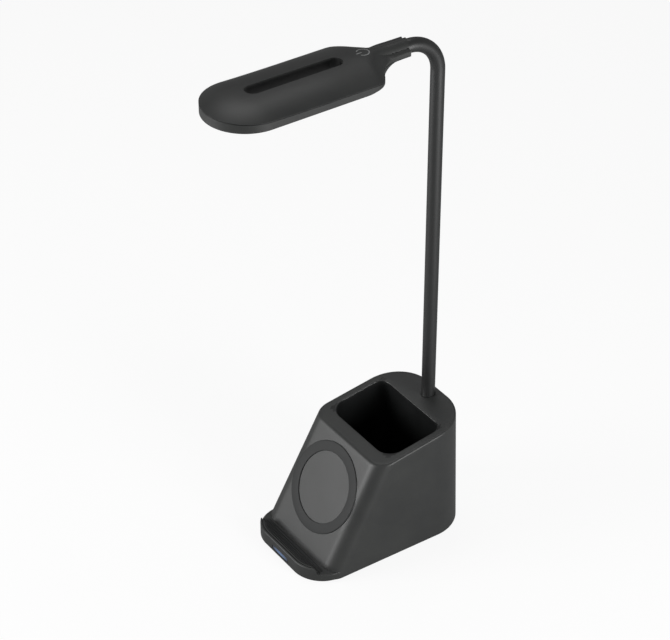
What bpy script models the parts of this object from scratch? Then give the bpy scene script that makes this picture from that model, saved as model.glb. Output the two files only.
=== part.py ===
"""Desk lamp with a pen cup, a leaning wireless charging face and a gooseneck that carries a slotted head.

Metres, +Z up. The head and the charging face look towards -Y, and the origin is the centre of the base's
footprint on the table. Each object is one physical piece.
"""

import math

import bmesh
import bpy
import numpy as np
from mathutils import Matrix

# Shared clearances and facet counts
GAP = 0.0003
OVERRUN = 0.004
CORNER_STEPS = 6
TURN_STEPS = 16
DISC_STEPS = 28

# Foot: the low block in front, with a lip along its front edge
BASE_LENGTH = 0.1105
FOOT_NARROWING = 0.0007
FOOT_CORNER = 0.0190
FOOT_HEIGHT = 0.0092
FOOT_EDGE_ROUND = 0.0014
FOOT_BLOCK_LENGTH = 0.0700
FOOT_STEP_INTO_BODY = 0.0005
LIP_THICKNESS = 0.0034
LIP_WRAP = 0.0024
SHELF_HEIGHT = 0.0054
SHELF_DEPTH = 0.0089
UNDERSIDE_HEIGHT = 0.0008

# Body: drafted walls, a face that leans back and a rim that rises to the rear
BODY_FOOT_WIDTH = 0.0708
BODY_FRONT_NARROWING = 0.0012
BODY_SIDE_DRAFT = 0.0024
BODY_REAR_DRAFT = 0.0013
BODY_FRONT_CORNER = 0.0095
BODY_REAR_CORNER = 0.0250
BODY_REAR_CORNER_AT_RIM = 0.0235
RECLINE = math.radians(28.5)
RIM_HEIGHT = 0.0671
RIM_SLOPE = math.radians(8.0)
RIM_EDGE_ROUND = 0.0012
WALL = 0.0022
DECK = 0.0024
FOOT_ROOF = 0.0014

# Pen cup, and how far the rim's flat top runs round it
RIM_SIDE_DEPTH = 0.0050
RIM_FRONT_DEPTH = 0.0080
RIM_REAR_DEPTH = 0.0184
CUP_FRONT_CORNER = 0.0100
CUP_REAR_CORNER = 0.0065
CUP_DRAFT = 0.0008
CUP_WALL = 0.0020
CUP_FLOOR_HEIGHT = 0.0140
CUP_FLOOR = 0.0020

# Underside: cover, anti-slip pad, screws and ballast
COVER_THICKNESS = 0.0018
PAD_THICKNESS = 0.0012
PAD_MARGIN = 0.0016
SCREW_HEAD_RADIUS = 0.0025
SCREW_HEAD_HEIGHT = 0.0011
SCREW_RADIUS = 0.0011
SCREW_LENGTH = 0.0080
BOSS_RADIUS = 0.0034
COVER_BOSS_HEIGHT = 0.0018
FRONT_BOSS_TOP = 0.0260
FRONT_SCREW_FROM_SIDE = 0.0087
FRONT_SCREW_FROM_FRONT = 0.0235
REAR_SCREW_FROM_SIDE = 0.0102
REAR_SCREW_FROM_REAR = 0.0243
BALLAST_FROM_BOSS = 0.0023
BALLAST_FROM_CUP_END = 0.0010
BALLAST_THICKNESS = 0.0060
BALLAST_CORNER = 0.0030

# Charging face: pad ring, coil and ferrite, all square to the leaning face
COIL_HEIGHT = 0.0385
PAD_RING_OUTER = 0.0265
PAD_RING_INNER = 0.0205
PAD_RING_THICKNESS = 0.0009
PAD_RING_SINK = 0.0006
COIL_WIDTH_SHARE = 0.63
COIL_INNER = 0.0100
COIL_THICKNESS = 0.0016
FERRITE_THICKNESS = 0.0008
FERRITE_CORNER = 0.0040

# Shelf strip and status light
STRIP_FROM_SIDE = 0.0055
STRIP_WIDTH = 0.0064
STRIP_THICKNESS = 0.0007
STRIP_SINK = 0.0005
LIGHT_WIDTH = 0.0150
LIGHT_HEIGHT = 0.0020
LIGHT_FOOT = 0.0030
LIGHT_SETBACK = 0.0001
LIGHT_DEPTH = 0.0030
LIGHT_TAIL_LENGTH = 0.0140
LIGHT_TAIL_THICKNESS = 0.0007

# Boards
BOARD_THICKNESS = 0.0012
CHARGER_FROM_BOSS = 0.0006
CHARGER_LENGTH = 0.0250
CHARGER_FROM_FRONT = 0.0205
CHARGER_HEIGHT = 0.0065
POST_RADIUS = 0.0020
POST_INSET = 0.0035
CHIP_SIDE = 0.0070
CHIP_HEIGHT = 0.0010
CHOKE_SIDE = 0.0090
CHOKE_HEIGHT = 0.0036
USB_BOARD_WIDTH = 0.0200
USB_BOARD_LENGTH = 0.0140
USB_BOARD_HEIGHT = 0.0036
USB_WIDTH = 0.0090
USB_HEIGHT = 0.0032
USB_LENGTH = 0.0074
USB_SHELL = 0.0003
USB_TONGUE = 0.0007
USB_SETBACK = 0.0008

# Gooseneck: rigid links with a ball at the far end and a cup at the near end
NECK_RADIUS = 0.0038
NECK_BORE_RADIUS = 0.0013
NECK_SETBACK = 0.0069
NECK_TOP = 0.3026
FIRST_PIVOT_HEIGHT = 0.0840
STRAIGHT_PIVOTS = 8
BEND_PIVOTS = 5
BEND_RADIUS = 0.0195
BALL_STEPS = 4
NECK_POST_RADIUS = 0.0065
NECK_POST_FOOT = 0.0400
NECK_SEAT = 0.0037
STUD_THREAD_RADIUS = 0.0030
STUD_THREAD_LENGTH = 0.0120
NUT_ACROSS_FLATS = 0.0090
NUT_SIDES = 6
NUT_HEIGHT = 0.0034

# Head: long round-ended shells, thinner collar behind
HEAD_LENGTH = 0.1217
HEAD_WIDTH = 0.0464
HEAD_BELOW_AXIS = 0.0049
SIDE_HEIGHT = 0.0041
CROWN_EDGE = 0.0004
CROWN_RISE = 0.0057
SHOULDER_START = 0.0806
SHOULDER_LENGTH = 0.0300
COLLAR_HALF_WIDTH = 0.0077
COLLAR_START = 0.0950
COLLAR_FULL = 0.1080
COLLAR_TO_PIVOT = 0.0021
BULGE_RADIUS = 0.0049
WING_RISE = 0.0008
WING_DROP = 0.0013
SLOT_WIDTH = 0.0090
SLOT_LENGTH = 0.0570
SLOT_FROM_NOSE = 0.0227
SLOT_WALL = 0.0012
SHELL_THICKNESS = 0.0015
UPPER_RIM = 0.0030
LOWER_WALL = 0.0018
CAVITY_END = 0.0940
DIFFUSER_INSET = 0.0030
DIFFUSER_LENGTH = 0.0880
DIFFUSER_SINK = 0.0003
SHELF_THICKNESS = 0.0015
FLANGE_WIDTH = 0.0009
FLANGE_HEIGHT = 0.0010
FLANGE_SEAT = 0.0020
DIFFUSER_PLATE = 0.0012
LED_BOARD_THICKNESS = 0.0008
LED_COUNT_A_SIDE = 9
LED_SIDE = 0.0028
LED_HEIGHT = 0.0006
LED_LINE_X = 0.0130
FERRULE_LENGTH = 0.0190
WIRE_BORE_RADIUS = 0.0020
TOUCH_FROM_NOSE = 0.0928
TOUCH_RADIUS = 0.0040
TOUCH_THICKNESS = 0.0005
HEAD_SCREW_X = 0.0085
HEAD_SCREW_FROM_NOSE = 0.0968
HEAD_SCREW_HEAD_RADIUS = 0.0020
HEAD_SCREW_HEAD_HEIGHT = 0.0011
HEAD_SCREW_RADIUS = 0.0009
HEAD_SCREW_LENGTH = 0.0052

# Points of the rounded edges, and of the head's outlines and rings
NOSE_STEPS = 8
SIDE_STEPS = 3
SHOULDER_STEPS = 12
END_SHARES = (1.0, 0.83, 0.66, 0.60, 0.48, 0.32, 0.16, 0.0)
FAN_SHARE = 0.3
EDGE_SHARES = (0.0, 0.5, 1.0)
RING_SHARES = (0.06, 0.14, 0.24, 0.36, 0.50, 0.66, 0.83)

# Widths that follow from the body's
BODY_FRONT_FOOT_WIDTH = BODY_FOOT_WIDTH - 2 * BODY_FRONT_NARROWING
BODY_RIM_WIDTH = BODY_FOOT_WIDTH - 2 * BODY_SIDE_DRAFT
FOOT_WIDTH = BODY_FRONT_FOOT_WIDTH - 2 * FOOT_NARROWING
CUP_WIDTH = BODY_RIM_WIDTH - 2 * RIM_SIDE_DEPTH
STRIP_LENGTH = FOOT_WIDTH - 2 * STRIP_FROM_SIDE
FERRITE_SIDE = BODY_FRONT_FOOT_WIDTH * COIL_WIDTH_SHARE
COIL_OUTER = FERRITE_SIDE / 2
FRONT_SCREW_X = BODY_FRONT_FOOT_WIDTH / 2 - FRONT_SCREW_FROM_SIDE
REAR_SCREW_X = BODY_FOOT_WIDTH / 2 - REAR_SCREW_FROM_SIDE
CHARGER_WIDTH = 2 * (FRONT_SCREW_X - BOSS_RADIUS - CHARGER_FROM_BOSS)
BALLAST_WIDTH = 2 * (REAR_SCREW_X - BOSS_RADIUS - BALLAST_FROM_BOSS)

# Places that follow from the sizes above
FRONT_Y = -BASE_LENGTH / 2
REAR_Y = BASE_LENGTH / 2
LIP_INNER_Y = FRONT_Y + LIP_THICKNESS
HEEL_Y = LIP_INNER_Y + SHELF_DEPTH
RIM_REAR_Y = REAR_Y - BODY_REAR_DRAFT
CUP_REAR_Y = RIM_REAR_Y - RIM_REAR_DEPTH
CUP_FRONT_Y = HEEL_Y + (RIM_HEIGHT - SHELF_HEIGHT) * math.tan(RECLINE) + RIM_FRONT_DEPTH
BALLAST_LENGTH = CUP_REAR_Y - CUP_FRONT_Y - 2 * BALLAST_FROM_CUP_END
NECK_Y = RIM_REAR_Y - NECK_SETBACK
COVER_TOP = UNDERSIDE_HEIGHT + COVER_THICKNESS
BOSS_SEAT = COVER_TOP + COVER_BOSS_HEIGHT
BEND_CENTRE_Y = NECK_Y - BEND_RADIUS
BEND_CENTRE_Z = NECK_TOP - BEND_RADIUS
BEND_STEP = math.pi / 2 / BEND_PIVOTS
BEND_CORNER_RADIUS = BEND_RADIUS / math.cos(BEND_STEP / 2)
COLLAR_END_Y = BEND_CENTRE_Y + BEND_RADIUS * math.tan(BEND_STEP / 2) - COLLAR_TO_PIVOT
NOSE_Y = COLLAR_END_Y - HEAD_LENGTH
NOSE_CENTRE_Y = NOSE_Y + HEAD_WIDTH / 2
HEAD_FOOT = NECK_TOP - HEAD_BELOW_AXIS
PARTING = HEAD_FOOT + SIDE_HEIGHT
FLANGE_FOOT = HEAD_FOOT + SHELF_THICKNESS + GAP
FLANGE_TOP = FLANGE_FOOT + FLANGE_HEIGHT
BODY_TOP = RIM_HEIGHT + REAR_Y * math.tan(RIM_SLOPE) + OVERRUN


# Materials: one for each finish of the real lamp
FINISHES = {
    "charcoal_abs": ((0.046, 0.047, 0.049), 0.45, 0.0),
    "black_silicone": ((0.020, 0.020, 0.021), 0.62, 0.0),
    "opal_diffuser": ((0.86, 0.87, 0.85), 0.40, 0.0),
    "light_pipe": ((0.30, 0.50, 0.85), 0.20, 0.0),
    "board_green": ((0.020, 0.120, 0.055), 0.50, 0.0),
    "board_white": ((0.80, 0.80, 0.78), 0.45, 0.0),
    "copper": ((0.72, 0.34, 0.18), 0.35, 1.0),
    "ferrite": ((0.035, 0.035, 0.038), 0.70, 0.0),
    "steel": ((0.56, 0.56, 0.57), 0.32, 1.0),
    "ballast_steel": ((0.30, 0.30, 0.31), 0.50, 1.0),
    "neck_coating": ((0.022, 0.022, 0.024), 0.42, 0.0),
}


def finish(name, object_name):
    """A material of its own for one object, in one of the lamp's finishes."""
    colour, roughness, metallic = FINISHES[name]
    material = bpy.data.materials.new(f"{object_name}_{name}")
    material.use_nodes = True
    shader = material.node_tree.nodes["Principled BSDF"]
    shader.inputs["Base Color"].default_value = (*colour, 1.0)
    shader.inputs["Roughness"].default_value = roughness
    shader.inputs["Metallic"].default_value = metallic
    return material


# Mesh helpers
def mesh_object(name, points, faces, finish_name=None):
    """An object from points and faces; without a finish it is a cutter or another helper."""
    mesh = bpy.data.meshes.new(name)
    mesh.from_pydata([tuple(map(float, point)) for point in points], [], faces)
    work = bmesh.new()
    work.from_mesh(mesh)
    bmesh.ops.recalc_face_normals(work, faces=work.faces)
    work.to_mesh(mesh)
    work.free()
    piece = bpy.data.objects.new(name, mesh)
    bpy.context.scene.collection.objects.link(piece)
    if finish_name is None:
        piece.hide_render = True
        piece.display_type = "WIRE"
    else:
        mesh.shade_smooth()
        mesh.set_sharp_from_angle(angle=math.radians(30))
        mesh.materials.append(finish(finish_name, name))
    return piece


def band(first, second, count):
    """The faces between two rings that start at these point numbers."""
    return [
        (first + i, first + (i + 1) % count, second + (i + 1) % count, second + i)
        for i in range(count)
    ]


def loft(name, rings, finish_name=None):
    """A closed solid through rings of equal count, with a flat cap at each end."""
    count = len(rings[0])
    points = [point for ring in rings for point in ring]
    faces = [tuple(range(count)), tuple(range(len(points) - count, len(points)))]
    for k in range(len(rings) - 1):
        faces += band(k * count, (k + 1) * count, count)
    return mesh_object(name, points, faces, finish_name)


def hoop(name, rings, finish_name=None):
    """A closed solid with a hole through it: the last ring joins the first."""
    count = len(rings[0])
    points = [point for ring in rings for point in ring]
    faces = []
    for k in range(len(rings)):
        faces += band(k * count, (k + 1) % len(rings) * count, count)
    return mesh_object(name, points, faces, finish_name)


def at(outline, height):
    """The outline's points at one height."""
    return [(x, y, height) for x, y in outline]


def prism(name, outline, low, high, finish_name=None):
    return loft(name, [at(outline, low), at(outline, high)], finish_name)


def extruded_along_x(name, profile, half_width, finish_name=None):
    """A solid with a profile of (y, z) points, from -half_width to half_width."""
    rings = [[(x, y, z) for y, z in profile] for x in (-half_width, half_width)]
    return loft(name, rings, finish_name)


def block(name, x, y, z, finish_name=None):
    """A box from ranges along each axis."""
    outline = [(x[0], y[0]), (x[1], y[0]), (x[1], y[1]), (x[0], y[1])]
    return prism(name, outline, z[0], z[1], finish_name)


def circle(radius, steps, centre=(0, 0)):
    return [
        (
            centre[0] + radius * math.cos(2 * math.pi * i / steps),
            centre[1] + radius * math.sin(2 * math.pi * i / steps),
        )
        for i in range(steps)
    ]


def turned(name, profile, finish_name=None, steps=TURN_STEPS):
    """A turned piece about its own Z, from a closed profile of (radius, height) points.

    The profile runs down its outer side, and the bore's radius is above zero.
    """
    mesh = bpy.data.meshes.new(name)
    count = len(profile)
    edges = [(i, (i + 1) % count) for i in range(count)]
    mesh.from_pydata([(r, 0, z) for r, z in profile], edges, [])
    piece = bpy.data.objects.new(name, mesh)
    bpy.context.scene.collection.objects.link(piece)
    screw = piece.modifiers.new("turn", "SCREW")
    screw.steps = steps
    screw.render_steps = steps
    screw.use_smooth_shade = True
    screw.use_merge_vertices = False
    if finish_name is None:
        piece.hide_render = True
        piece.display_type = "WIRE"
    else:
        mesh.materials.append(finish(finish_name, name))
    return piece


def cut(piece, cutter, operation="DIFFERENCE"):
    step = piece.modifiers.new(f"{operation.lower()}_{cutter.name}", "BOOLEAN")
    step.operation = operation
    step.solver = "EXACT"
    step.object = cutter


def join(piece, other):
    """Adds a helper's solid to the piece."""
    cut(piece, other, "UNION")


# Outlines
def arc(centre, radius, start, end, steps):
    return [
        (
            centre[0] + radius * math.cos(start + (end - start) * i / steps),
            centre[1] + radius * math.sin(start + (end - start) * i / steps),
        )
        for i in range(steps + 1)
    ]


def four_sided(front, rear, half_front, half_rear, front_corner, rear_corner):
    """A round-cornered outline whose sides run straight from the front corners to the rear ones."""
    low = (half_front - front_corner, front + front_corner)
    high = (half_rear - rear_corner, rear - rear_corner)
    along = math.atan2(high[1] - low[1], high[0] - low[0])
    reach = math.hypot(high[0] - low[0], high[1] - low[1])
    side = along - math.acos((front_corner - rear_corner) / reach)
    right = arc(low, front_corner, -math.pi / 2, side, CORNER_STEPS)
    right += arc(high, rear_corner, side, math.pi / 2, CORNER_STEPS)
    return right + [(-x, y) for x, y in reversed(right)]


def rectangle(width, length, corner, centre=(0, 0)):
    outline = four_sided(-length / 2, length / 2, width / 2, width / 2, corner, corner)
    return [(x + centre[0], y + centre[1]) for x, y in outline]


def share_between(low, high, share):
    return low + (high - low) * share


def heel_line(height):
    """Where the leaning face stands at a height."""
    return HEEL_Y + (height - SHELF_HEIGHT) * math.tan(RECLINE)


def body_outline(height, inset=0.0):
    """The body's outline at a height, or the same drawn in by a wall."""
    climb = height / RIM_HEIGHT
    half_front = share_between(BODY_FRONT_FOOT_WIDTH, BODY_RIM_WIDTH, climb) / 2 - inset
    half_rear = share_between(BODY_FOOT_WIDTH, BODY_RIM_WIDTH, climb) / 2 - inset
    rear = REAR_Y - BODY_REAR_DRAFT * climb - inset
    rear_corner = share_between(BODY_REAR_CORNER, BODY_REAR_CORNER_AT_RIM, climb) - inset
    front = heel_line(height) + inset / math.cos(RECLINE)
    return four_sided(front, rear, half_front, half_rear, BODY_FRONT_CORNER - inset, rear_corner)


def foot_outline(inset=0.0, edge=0.0):
    """The foot block's outline; edge draws the front and its corners in, for the rounded lip."""
    half_front = FOOT_WIDTH / 2 - inset
    half_rear = BODY_FRONT_FOOT_WIDTH / 2 - FOOT_STEP_INTO_BODY - inset
    front = FRONT_Y + inset + edge
    rear = FRONT_Y + FOOT_BLOCK_LENGTH - inset
    return four_sided(front, rear, half_front - edge, half_rear, FOOT_CORNER - inset, FOOT_CORNER)


def rim_ring(drop, inset):
    """The body's outline where its walls meet the rim's plane, lowered by a drop."""
    slope = math.tan(RIM_SLOPE)
    ring = []
    for low, high in zip(body_outline(0, inset), body_outline(BODY_TOP, inset)):
        lean = (high[1] - low[1]) / BODY_TOP
        height = (RIM_HEIGHT + slope * low[1] - drop) / (1 - slope * lean)
        climb = height / BODY_TOP
        ring.append(
            (
                share_between(low[0], high[0], climb),
                share_between(low[1], high[1], climb),
                height,
            )
        )
    return ring


def above_rim(name, drop):
    """A wedge over the rim's plane, lowered by a thickness."""
    top = RIM_HEIGHT + BASE_LENGTH
    near = FRONT_Y - OVERRUN
    far = REAR_Y + OVERRUN
    fall = drop / math.cos(RIM_SLOPE)
    slope = math.tan(RIM_SLOPE)
    profile = [
        (near, RIM_HEIGHT - fall + near * slope),
        (far, RIM_HEIGHT - fall + far * slope),
        (far, top),
        (near, top),
    ]
    return extruded_along_x(name, profile, BODY_FOOT_WIDTH / 2 + OVERRUN)


def rounded_edge(radius):
    """(drop, inset) pairs up a rounded edge, from the wall to the flat above it."""
    turns = [share * math.pi / 2 for share in EDGE_SHARES]
    return [(radius * (1 - math.sin(turn)), radius * (1 - math.cos(turn))) for turn in turns]


def base_slab(name, inset, low, high, finish_name=None):
    """A slab in the base's footprint: body and foot together."""
    slab = prism(name, body_outline(COVER_TOP, inset), low, high, finish_name)
    join(slab, prism(f"helper_{name}_foot", foot_outline(inset), low, high))
    return slab


SCREW_PLACES = [
    (side * x, y)
    for side in (-1, 1)
    for x, y in (
        (FRONT_SCREW_X, FRONT_Y + FRONT_SCREW_FROM_FRONT),
        (REAR_SCREW_X, REAR_Y - REAR_SCREW_FROM_REAR),
    )
]


# Base housing: cup, leaning face and foot in one moulding, open underneath
def foot_block():
    rings = [at(foot_outline(), 0)]
    for drop, inset in rounded_edge(FOOT_EDGE_ROUND):
        rings.append(at(foot_outline(edge=inset), FOOT_HEIGHT - drop))
    foot = loft("helper_foot", rings)
    channel = prism("cut_channel", foot_outline(LIP_THICKNESS), SHELF_HEIGHT, FOOT_HEIGHT + OVERRUN)
    passage = block(
        "cut_passage",
        (-FOOT_WIDTH, FOOT_WIDTH),
        (LIP_INNER_Y + LIP_WRAP, FRONT_Y + FOOT_BLOCK_LENGTH + OVERRUN),
        (SHELF_HEIGHT, FOOT_HEIGHT + OVERRUN),
    )
    join(channel, passage)
    cut(foot, channel)
    return foot


def on_face(piece):
    """Puts a piece that was made flat onto the leaning face, its +Z out of the face."""
    piece.location = (0, heel_line(COIL_HEIGHT), COIL_HEIGHT)
    piece.rotation_euler = (math.pi / 2 - RECLINE, 0, 0)
    return piece


def cavity():
    """The hollow inside the housing, round the cup, the screw bosses and the neck's post."""
    rings = [at(body_outline(height, WALL), height) for height in (-OVERRUN, BODY_TOP)]
    hollow = loft("cut_cavity", rings)
    cut(hollow, above_rim("cut_roof", DECK))
    cup = four_sided(
        CUP_FRONT_Y - CUP_WALL,
        CUP_REAR_Y + CUP_WALL,
        CUP_WIDTH / 2 + CUP_WALL,
        CUP_WIDTH / 2 + CUP_WALL,
        CUP_FRONT_CORNER + CUP_WALL,
        CUP_REAR_CORNER + CUP_WALL,
    )
    cut(hollow, prism("keep_cup", cup, CUP_FLOOR_HEIGHT - CUP_FLOOR, BODY_TOP + OVERRUN))
    for number, place in enumerate(SCREW_PLACES, 1):
        boss = circle(BOSS_RADIUS, TURN_STEPS, place)
        top = CUP_FLOOR_HEIGHT if place[1] > 0 else FRONT_BOSS_TOP
        cut(hollow, prism(f"keep_boss_{number}", boss, BOSS_SEAT + GAP, top))
    post = circle(NECK_POST_RADIUS, TURN_STEPS, (0, NECK_Y))
    cut(hollow, prism("keep_post", post, NECK_POST_FOOT, BODY_TOP + OVERRUN))
    return hollow


def base_housing():
    rings = [at(body_outline(0), 0)]
    rings += [rim_ring(drop, inset) for drop, inset in rounded_edge(RIM_EDGE_ROUND)]
    housing = loft("base_housing", rings, "charcoal_abs")
    join(housing, foot_block())
    cut(housing, base_slab("cut_below", -OVERRUN, -OVERRUN, UNDERSIDE_HEIGHT))
    cut(housing, cavity())
    foot_hollow = prism("cut_foot_hollow", foot_outline(WALL), -OVERRUN, SHELF_HEIGHT - FOOT_ROOF)
    cut(housing, foot_hollow)
    floor_half = CUP_WIDTH / 2 - CUP_DRAFT
    top_half = CUP_WIDTH / 2 + CUP_DRAFT * (BODY_TOP - RIM_HEIGHT) / (RIM_HEIGHT - CUP_FLOOR_HEIGHT)
    well = [
        at(
            four_sided(
                CUP_FRONT_Y + CUP_WIDTH / 2 - half,
                CUP_REAR_Y - CUP_WIDTH / 2 + half,
                half,
                half,
                CUP_FRONT_CORNER,
                CUP_REAR_CORNER,
            ),
            height,
        )
        for half, height in ((floor_half, CUP_FLOOR_HEIGHT), (top_half, BODY_TOP))
    ]
    cut(housing, loft("cut_well", well))
    bore = circle(NECK_RADIUS + GAP, TURN_STEPS, (0, NECK_Y))
    seat = NECK_POST_FOOT + NECK_SEAT
    cut(housing, prism("cut_neck_bore", bore, seat, BODY_TOP + OVERRUN))
    throat = circle(STUD_THREAD_RADIUS + GAP, TURN_STEPS, (0, NECK_Y))
    cut(housing, prism("cut_neck_throat", throat, NECK_POST_FOOT - OVERRUN, seat + OVERRUN))
    for number, place in enumerate(SCREW_PLACES, 1):
        pilot = circle(SCREW_RADIUS + GAP, TURN_STEPS, place)
        depth = PAD_THICKNESS + SCREW_HEAD_HEIGHT + SCREW_LENGTH + 3 * GAP
        cut(housing, prism(f"cut_pilot_{number}", pilot, UNDERSIDE_HEIGHT, depth))
    strip = rectangle(
        STRIP_LENGTH + 2 * GAP,
        STRIP_WIDTH + 2 * GAP,
        STRIP_WIDTH / 4,
        (0, LIP_INNER_Y + SHELF_DEPTH / 2),
    )
    cut(housing, prism("cut_strip_seat", strip, SHELF_HEIGHT - STRIP_SINK, SHELF_HEIGHT + OVERRUN))
    ring_seat = hoop(
        "cut_ring_seat",
        [
            at(circle(radius, DISC_STEPS), height)
            for radius, height in (
                (PAD_RING_OUTER + GAP, -PAD_RING_SINK),
                (PAD_RING_OUTER + GAP, OVERRUN),
                (PAD_RING_INNER - GAP, OVERRUN),
                (PAD_RING_INNER - GAP, -PAD_RING_SINK),
            )
        ],
    )
    cut(housing, on_face(ring_seat))
    window = block(
        "cut_window",
        (-LIGHT_WIDTH / 2 - GAP, LIGHT_WIDTH / 2 + GAP),
        (FRONT_Y - OVERRUN, FRONT_Y + LIGHT_SETBACK + LIGHT_DEPTH + GAP),
        (LIGHT_FOOT - GAP, LIGHT_FOOT + LIGHT_HEIGHT + GAP),
    )
    cut(housing, window)
    inlet = usb_outline(GAP)
    rings = [[(x, y, z) for x, z in inlet] for y in (REAR_Y - WALL - OVERRUN, REAR_Y + OVERRUN)]
    cut(housing, loft("cut_usb", rings))
    return housing


# Underside pieces
def bottom_cover():
    cover = base_slab("bottom_cover", WALL + GAP, UNDERSIDE_HEIGHT, COVER_TOP, "charcoal_abs")
    posts = [(place, BOSS_SEAT) for place in SCREW_PLACES]
    board_y = FRONT_Y + CHARGER_FROM_FRONT
    for x in (POST_INSET - CHARGER_WIDTH / 2, CHARGER_WIDTH / 2 - POST_INSET):
        for y in (board_y + POST_INSET, board_y + CHARGER_LENGTH - POST_INSET):
            posts.append(((x, y), CHARGER_HEIGHT - GAP))
    for x in (POST_INSET - USB_BOARD_WIDTH / 2, USB_BOARD_WIDTH / 2 - POST_INSET):
        posts.append(((x, usb_board_front() + POST_INSET), USB_BOARD_HEIGHT - GAP))
    for number, (place, top) in enumerate(posts, 1):
        radius = BOSS_RADIUS if number <= len(SCREW_PLACES) else POST_RADIUS
        foot = COVER_TOP - COVER_THICKNESS / 4
        join(cover, prism(f"helper_post_{number}", circle(radius, TURN_STEPS, place), foot, top))
    seat = PAD_THICKNESS + GAP
    cut(cover, base_slab("cut_pad_seat", WALL + GAP + PAD_MARGIN - GAP, -OVERRUN, seat))
    for number, place in enumerate(SCREW_PLACES, 1):
        sink = circle(SCREW_HEAD_RADIUS + GAP, TURN_STEPS, place)
        cut(cover, prism(f"cut_sink_{number}", sink, -OVERRUN, seat + SCREW_HEAD_HEIGHT + GAP))
        hole = circle(SCREW_RADIUS + GAP, TURN_STEPS, place)
        cut(cover, prism(f"cut_hole_{number}", hole, 0, BOSS_SEAT + OVERRUN))
    return cover


def screw(name, place, foot, head_radius, head_height, radius, length):
    """A pan-head screw that points up, its head's face at the height given."""
    tip = foot + head_height + length
    rings = [
        at(circle(head_radius, TURN_STEPS, place), foot),
        at(circle(head_radius, TURN_STEPS, place), foot + head_height),
        at(circle(radius, TURN_STEPS, place), foot + head_height),
        at(circle(radius, TURN_STEPS, place), tip - radius),
        at(circle(radius / 2, TURN_STEPS, place), tip),
    ]
    return loft(name, rings, "steel")


def underside():
    bottom_cover()
    base_slab("foot_pad", WALL + GAP + PAD_MARGIN, 0, PAD_THICKNESS, "black_silicone")
    for number, place in enumerate(SCREW_PLACES, 1):
        screw(
            f"cover_screw_{number}",
            place,
            PAD_THICKNESS + GAP,
            SCREW_HEAD_RADIUS,
            SCREW_HEAD_HEIGHT,
            SCREW_RADIUS,
            SCREW_LENGTH,
        )
    centre = (0, (CUP_FRONT_Y + CUP_REAR_Y) / 2)
    outline = rectangle(BALLAST_WIDTH, BALLAST_LENGTH, BALLAST_CORNER, centre)
    foot = COVER_TOP + GAP
    prism("ballast_plate", outline, foot, foot + BALLAST_THICKNESS, "ballast_steel")


# Charging face
def charging_parts():
    def flat_ring(name, outer, inner, low, high, finish_name):
        profile = [(outer, high), (outer, low), (inner, low), (inner, high)]
        return on_face(turned(name, profile, finish_name, DISC_STEPS))

    foot = GAP - PAD_RING_SINK
    flat_ring(
        "charging_pad_ring",
        PAD_RING_OUTER,
        PAD_RING_INNER,
        foot,
        foot + PAD_RING_THICKNESS,
        "black_silicone",
    )
    coil_face = -WALL - GAP
    coil_back = coil_face - COIL_THICKNESS
    flat_ring("charging_coil", COIL_OUTER, COIL_INNER, coil_back, coil_face, "copper")
    sheet = rectangle(FERRITE_SIDE, FERRITE_SIDE, FERRITE_CORNER)
    sheet_face = coil_back - GAP
    on_face(
        prism("coil_ferrite_sheet", sheet, sheet_face - FERRITE_THICKNESS, sheet_face, "ferrite")
    )


def shelf_strip():
    outline = rectangle(
        STRIP_LENGTH, STRIP_WIDTH, STRIP_WIDTH / 4, (0, LIP_INNER_Y + SHELF_DEPTH / 2)
    )
    foot = SHELF_HEIGHT - STRIP_SINK + GAP
    prism("shelf_grip_strip", outline, foot, foot + STRIP_THICKNESS, "black_silicone")


def status_light():
    """A clear window in the foot's front wall, with a flat tail that leads back to the board's lamp."""
    face = FRONT_Y + LIGHT_SETBACK
    step = face + LIGHT_DEPTH
    end = step + LIGHT_TAIL_LENGTH
    profile = [
        (face, LIGHT_FOOT),
        (end, LIGHT_FOOT),
        (end, LIGHT_FOOT + LIGHT_TAIL_THICKNESS),
        (step, LIGHT_FOOT + LIGHT_TAIL_THICKNESS),
        (step, LIGHT_FOOT + LIGHT_HEIGHT),
        (face, LIGHT_FOOT + LIGHT_HEIGHT),
    ]
    extruded_along_x("status_light_pipe", profile, LIGHT_WIDTH / 2, "light_pipe")


# Boards and the rear inlet
def charger_board():
    front = FRONT_Y + CHARGER_FROM_FRONT
    top = CHARGER_HEIGHT + BOARD_THICKNESS
    sunk = top - BOARD_THICKNESS / 4
    outline = rectangle(
        CHARGER_WIDTH, CHARGER_LENGTH, POST_RADIUS, (0, front + CHARGER_LENGTH / 2)
    )
    board = prism("charger_board", outline, CHARGER_HEIGHT, top, "board_green")
    middle = front + CHARGER_LENGTH / 2
    chip = rectangle(CHIP_SIDE, CHIP_SIDE, CHIP_HEIGHT / 2, (-CHARGER_WIDTH / 6, middle))
    join(board, prism("helper_chip", chip, sunk, top + CHIP_HEIGHT))
    choke = rectangle(CHOKE_SIDE, CHOKE_SIDE, CHOKE_SIDE / 6, (CHARGER_WIDTH / 5, middle))
    join(board, prism("helper_choke", choke, sunk, top + CHOKE_HEIGHT))


def usb_outline(grow=0.0):
    """The inlet's round-ended outline as (x, z) points."""
    centre = USB_BOARD_HEIGHT + BOARD_THICKNESS + GAP + USB_HEIGHT / 2
    radius = USB_HEIGHT / 2 + grow
    reach = USB_WIDTH / 2 - USB_HEIGHT / 2
    right = arc((reach, centre), radius, -math.pi / 2, math.pi / 2, CORNER_STEPS)
    return right + [(-x, 2 * centre - z) for x, z in right]


def usb_mouth():
    return REAR_Y - USB_SETBACK


def usb_board_front():
    return usb_mouth() - USB_SETBACK - WALL - USB_BOARD_LENGTH


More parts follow.
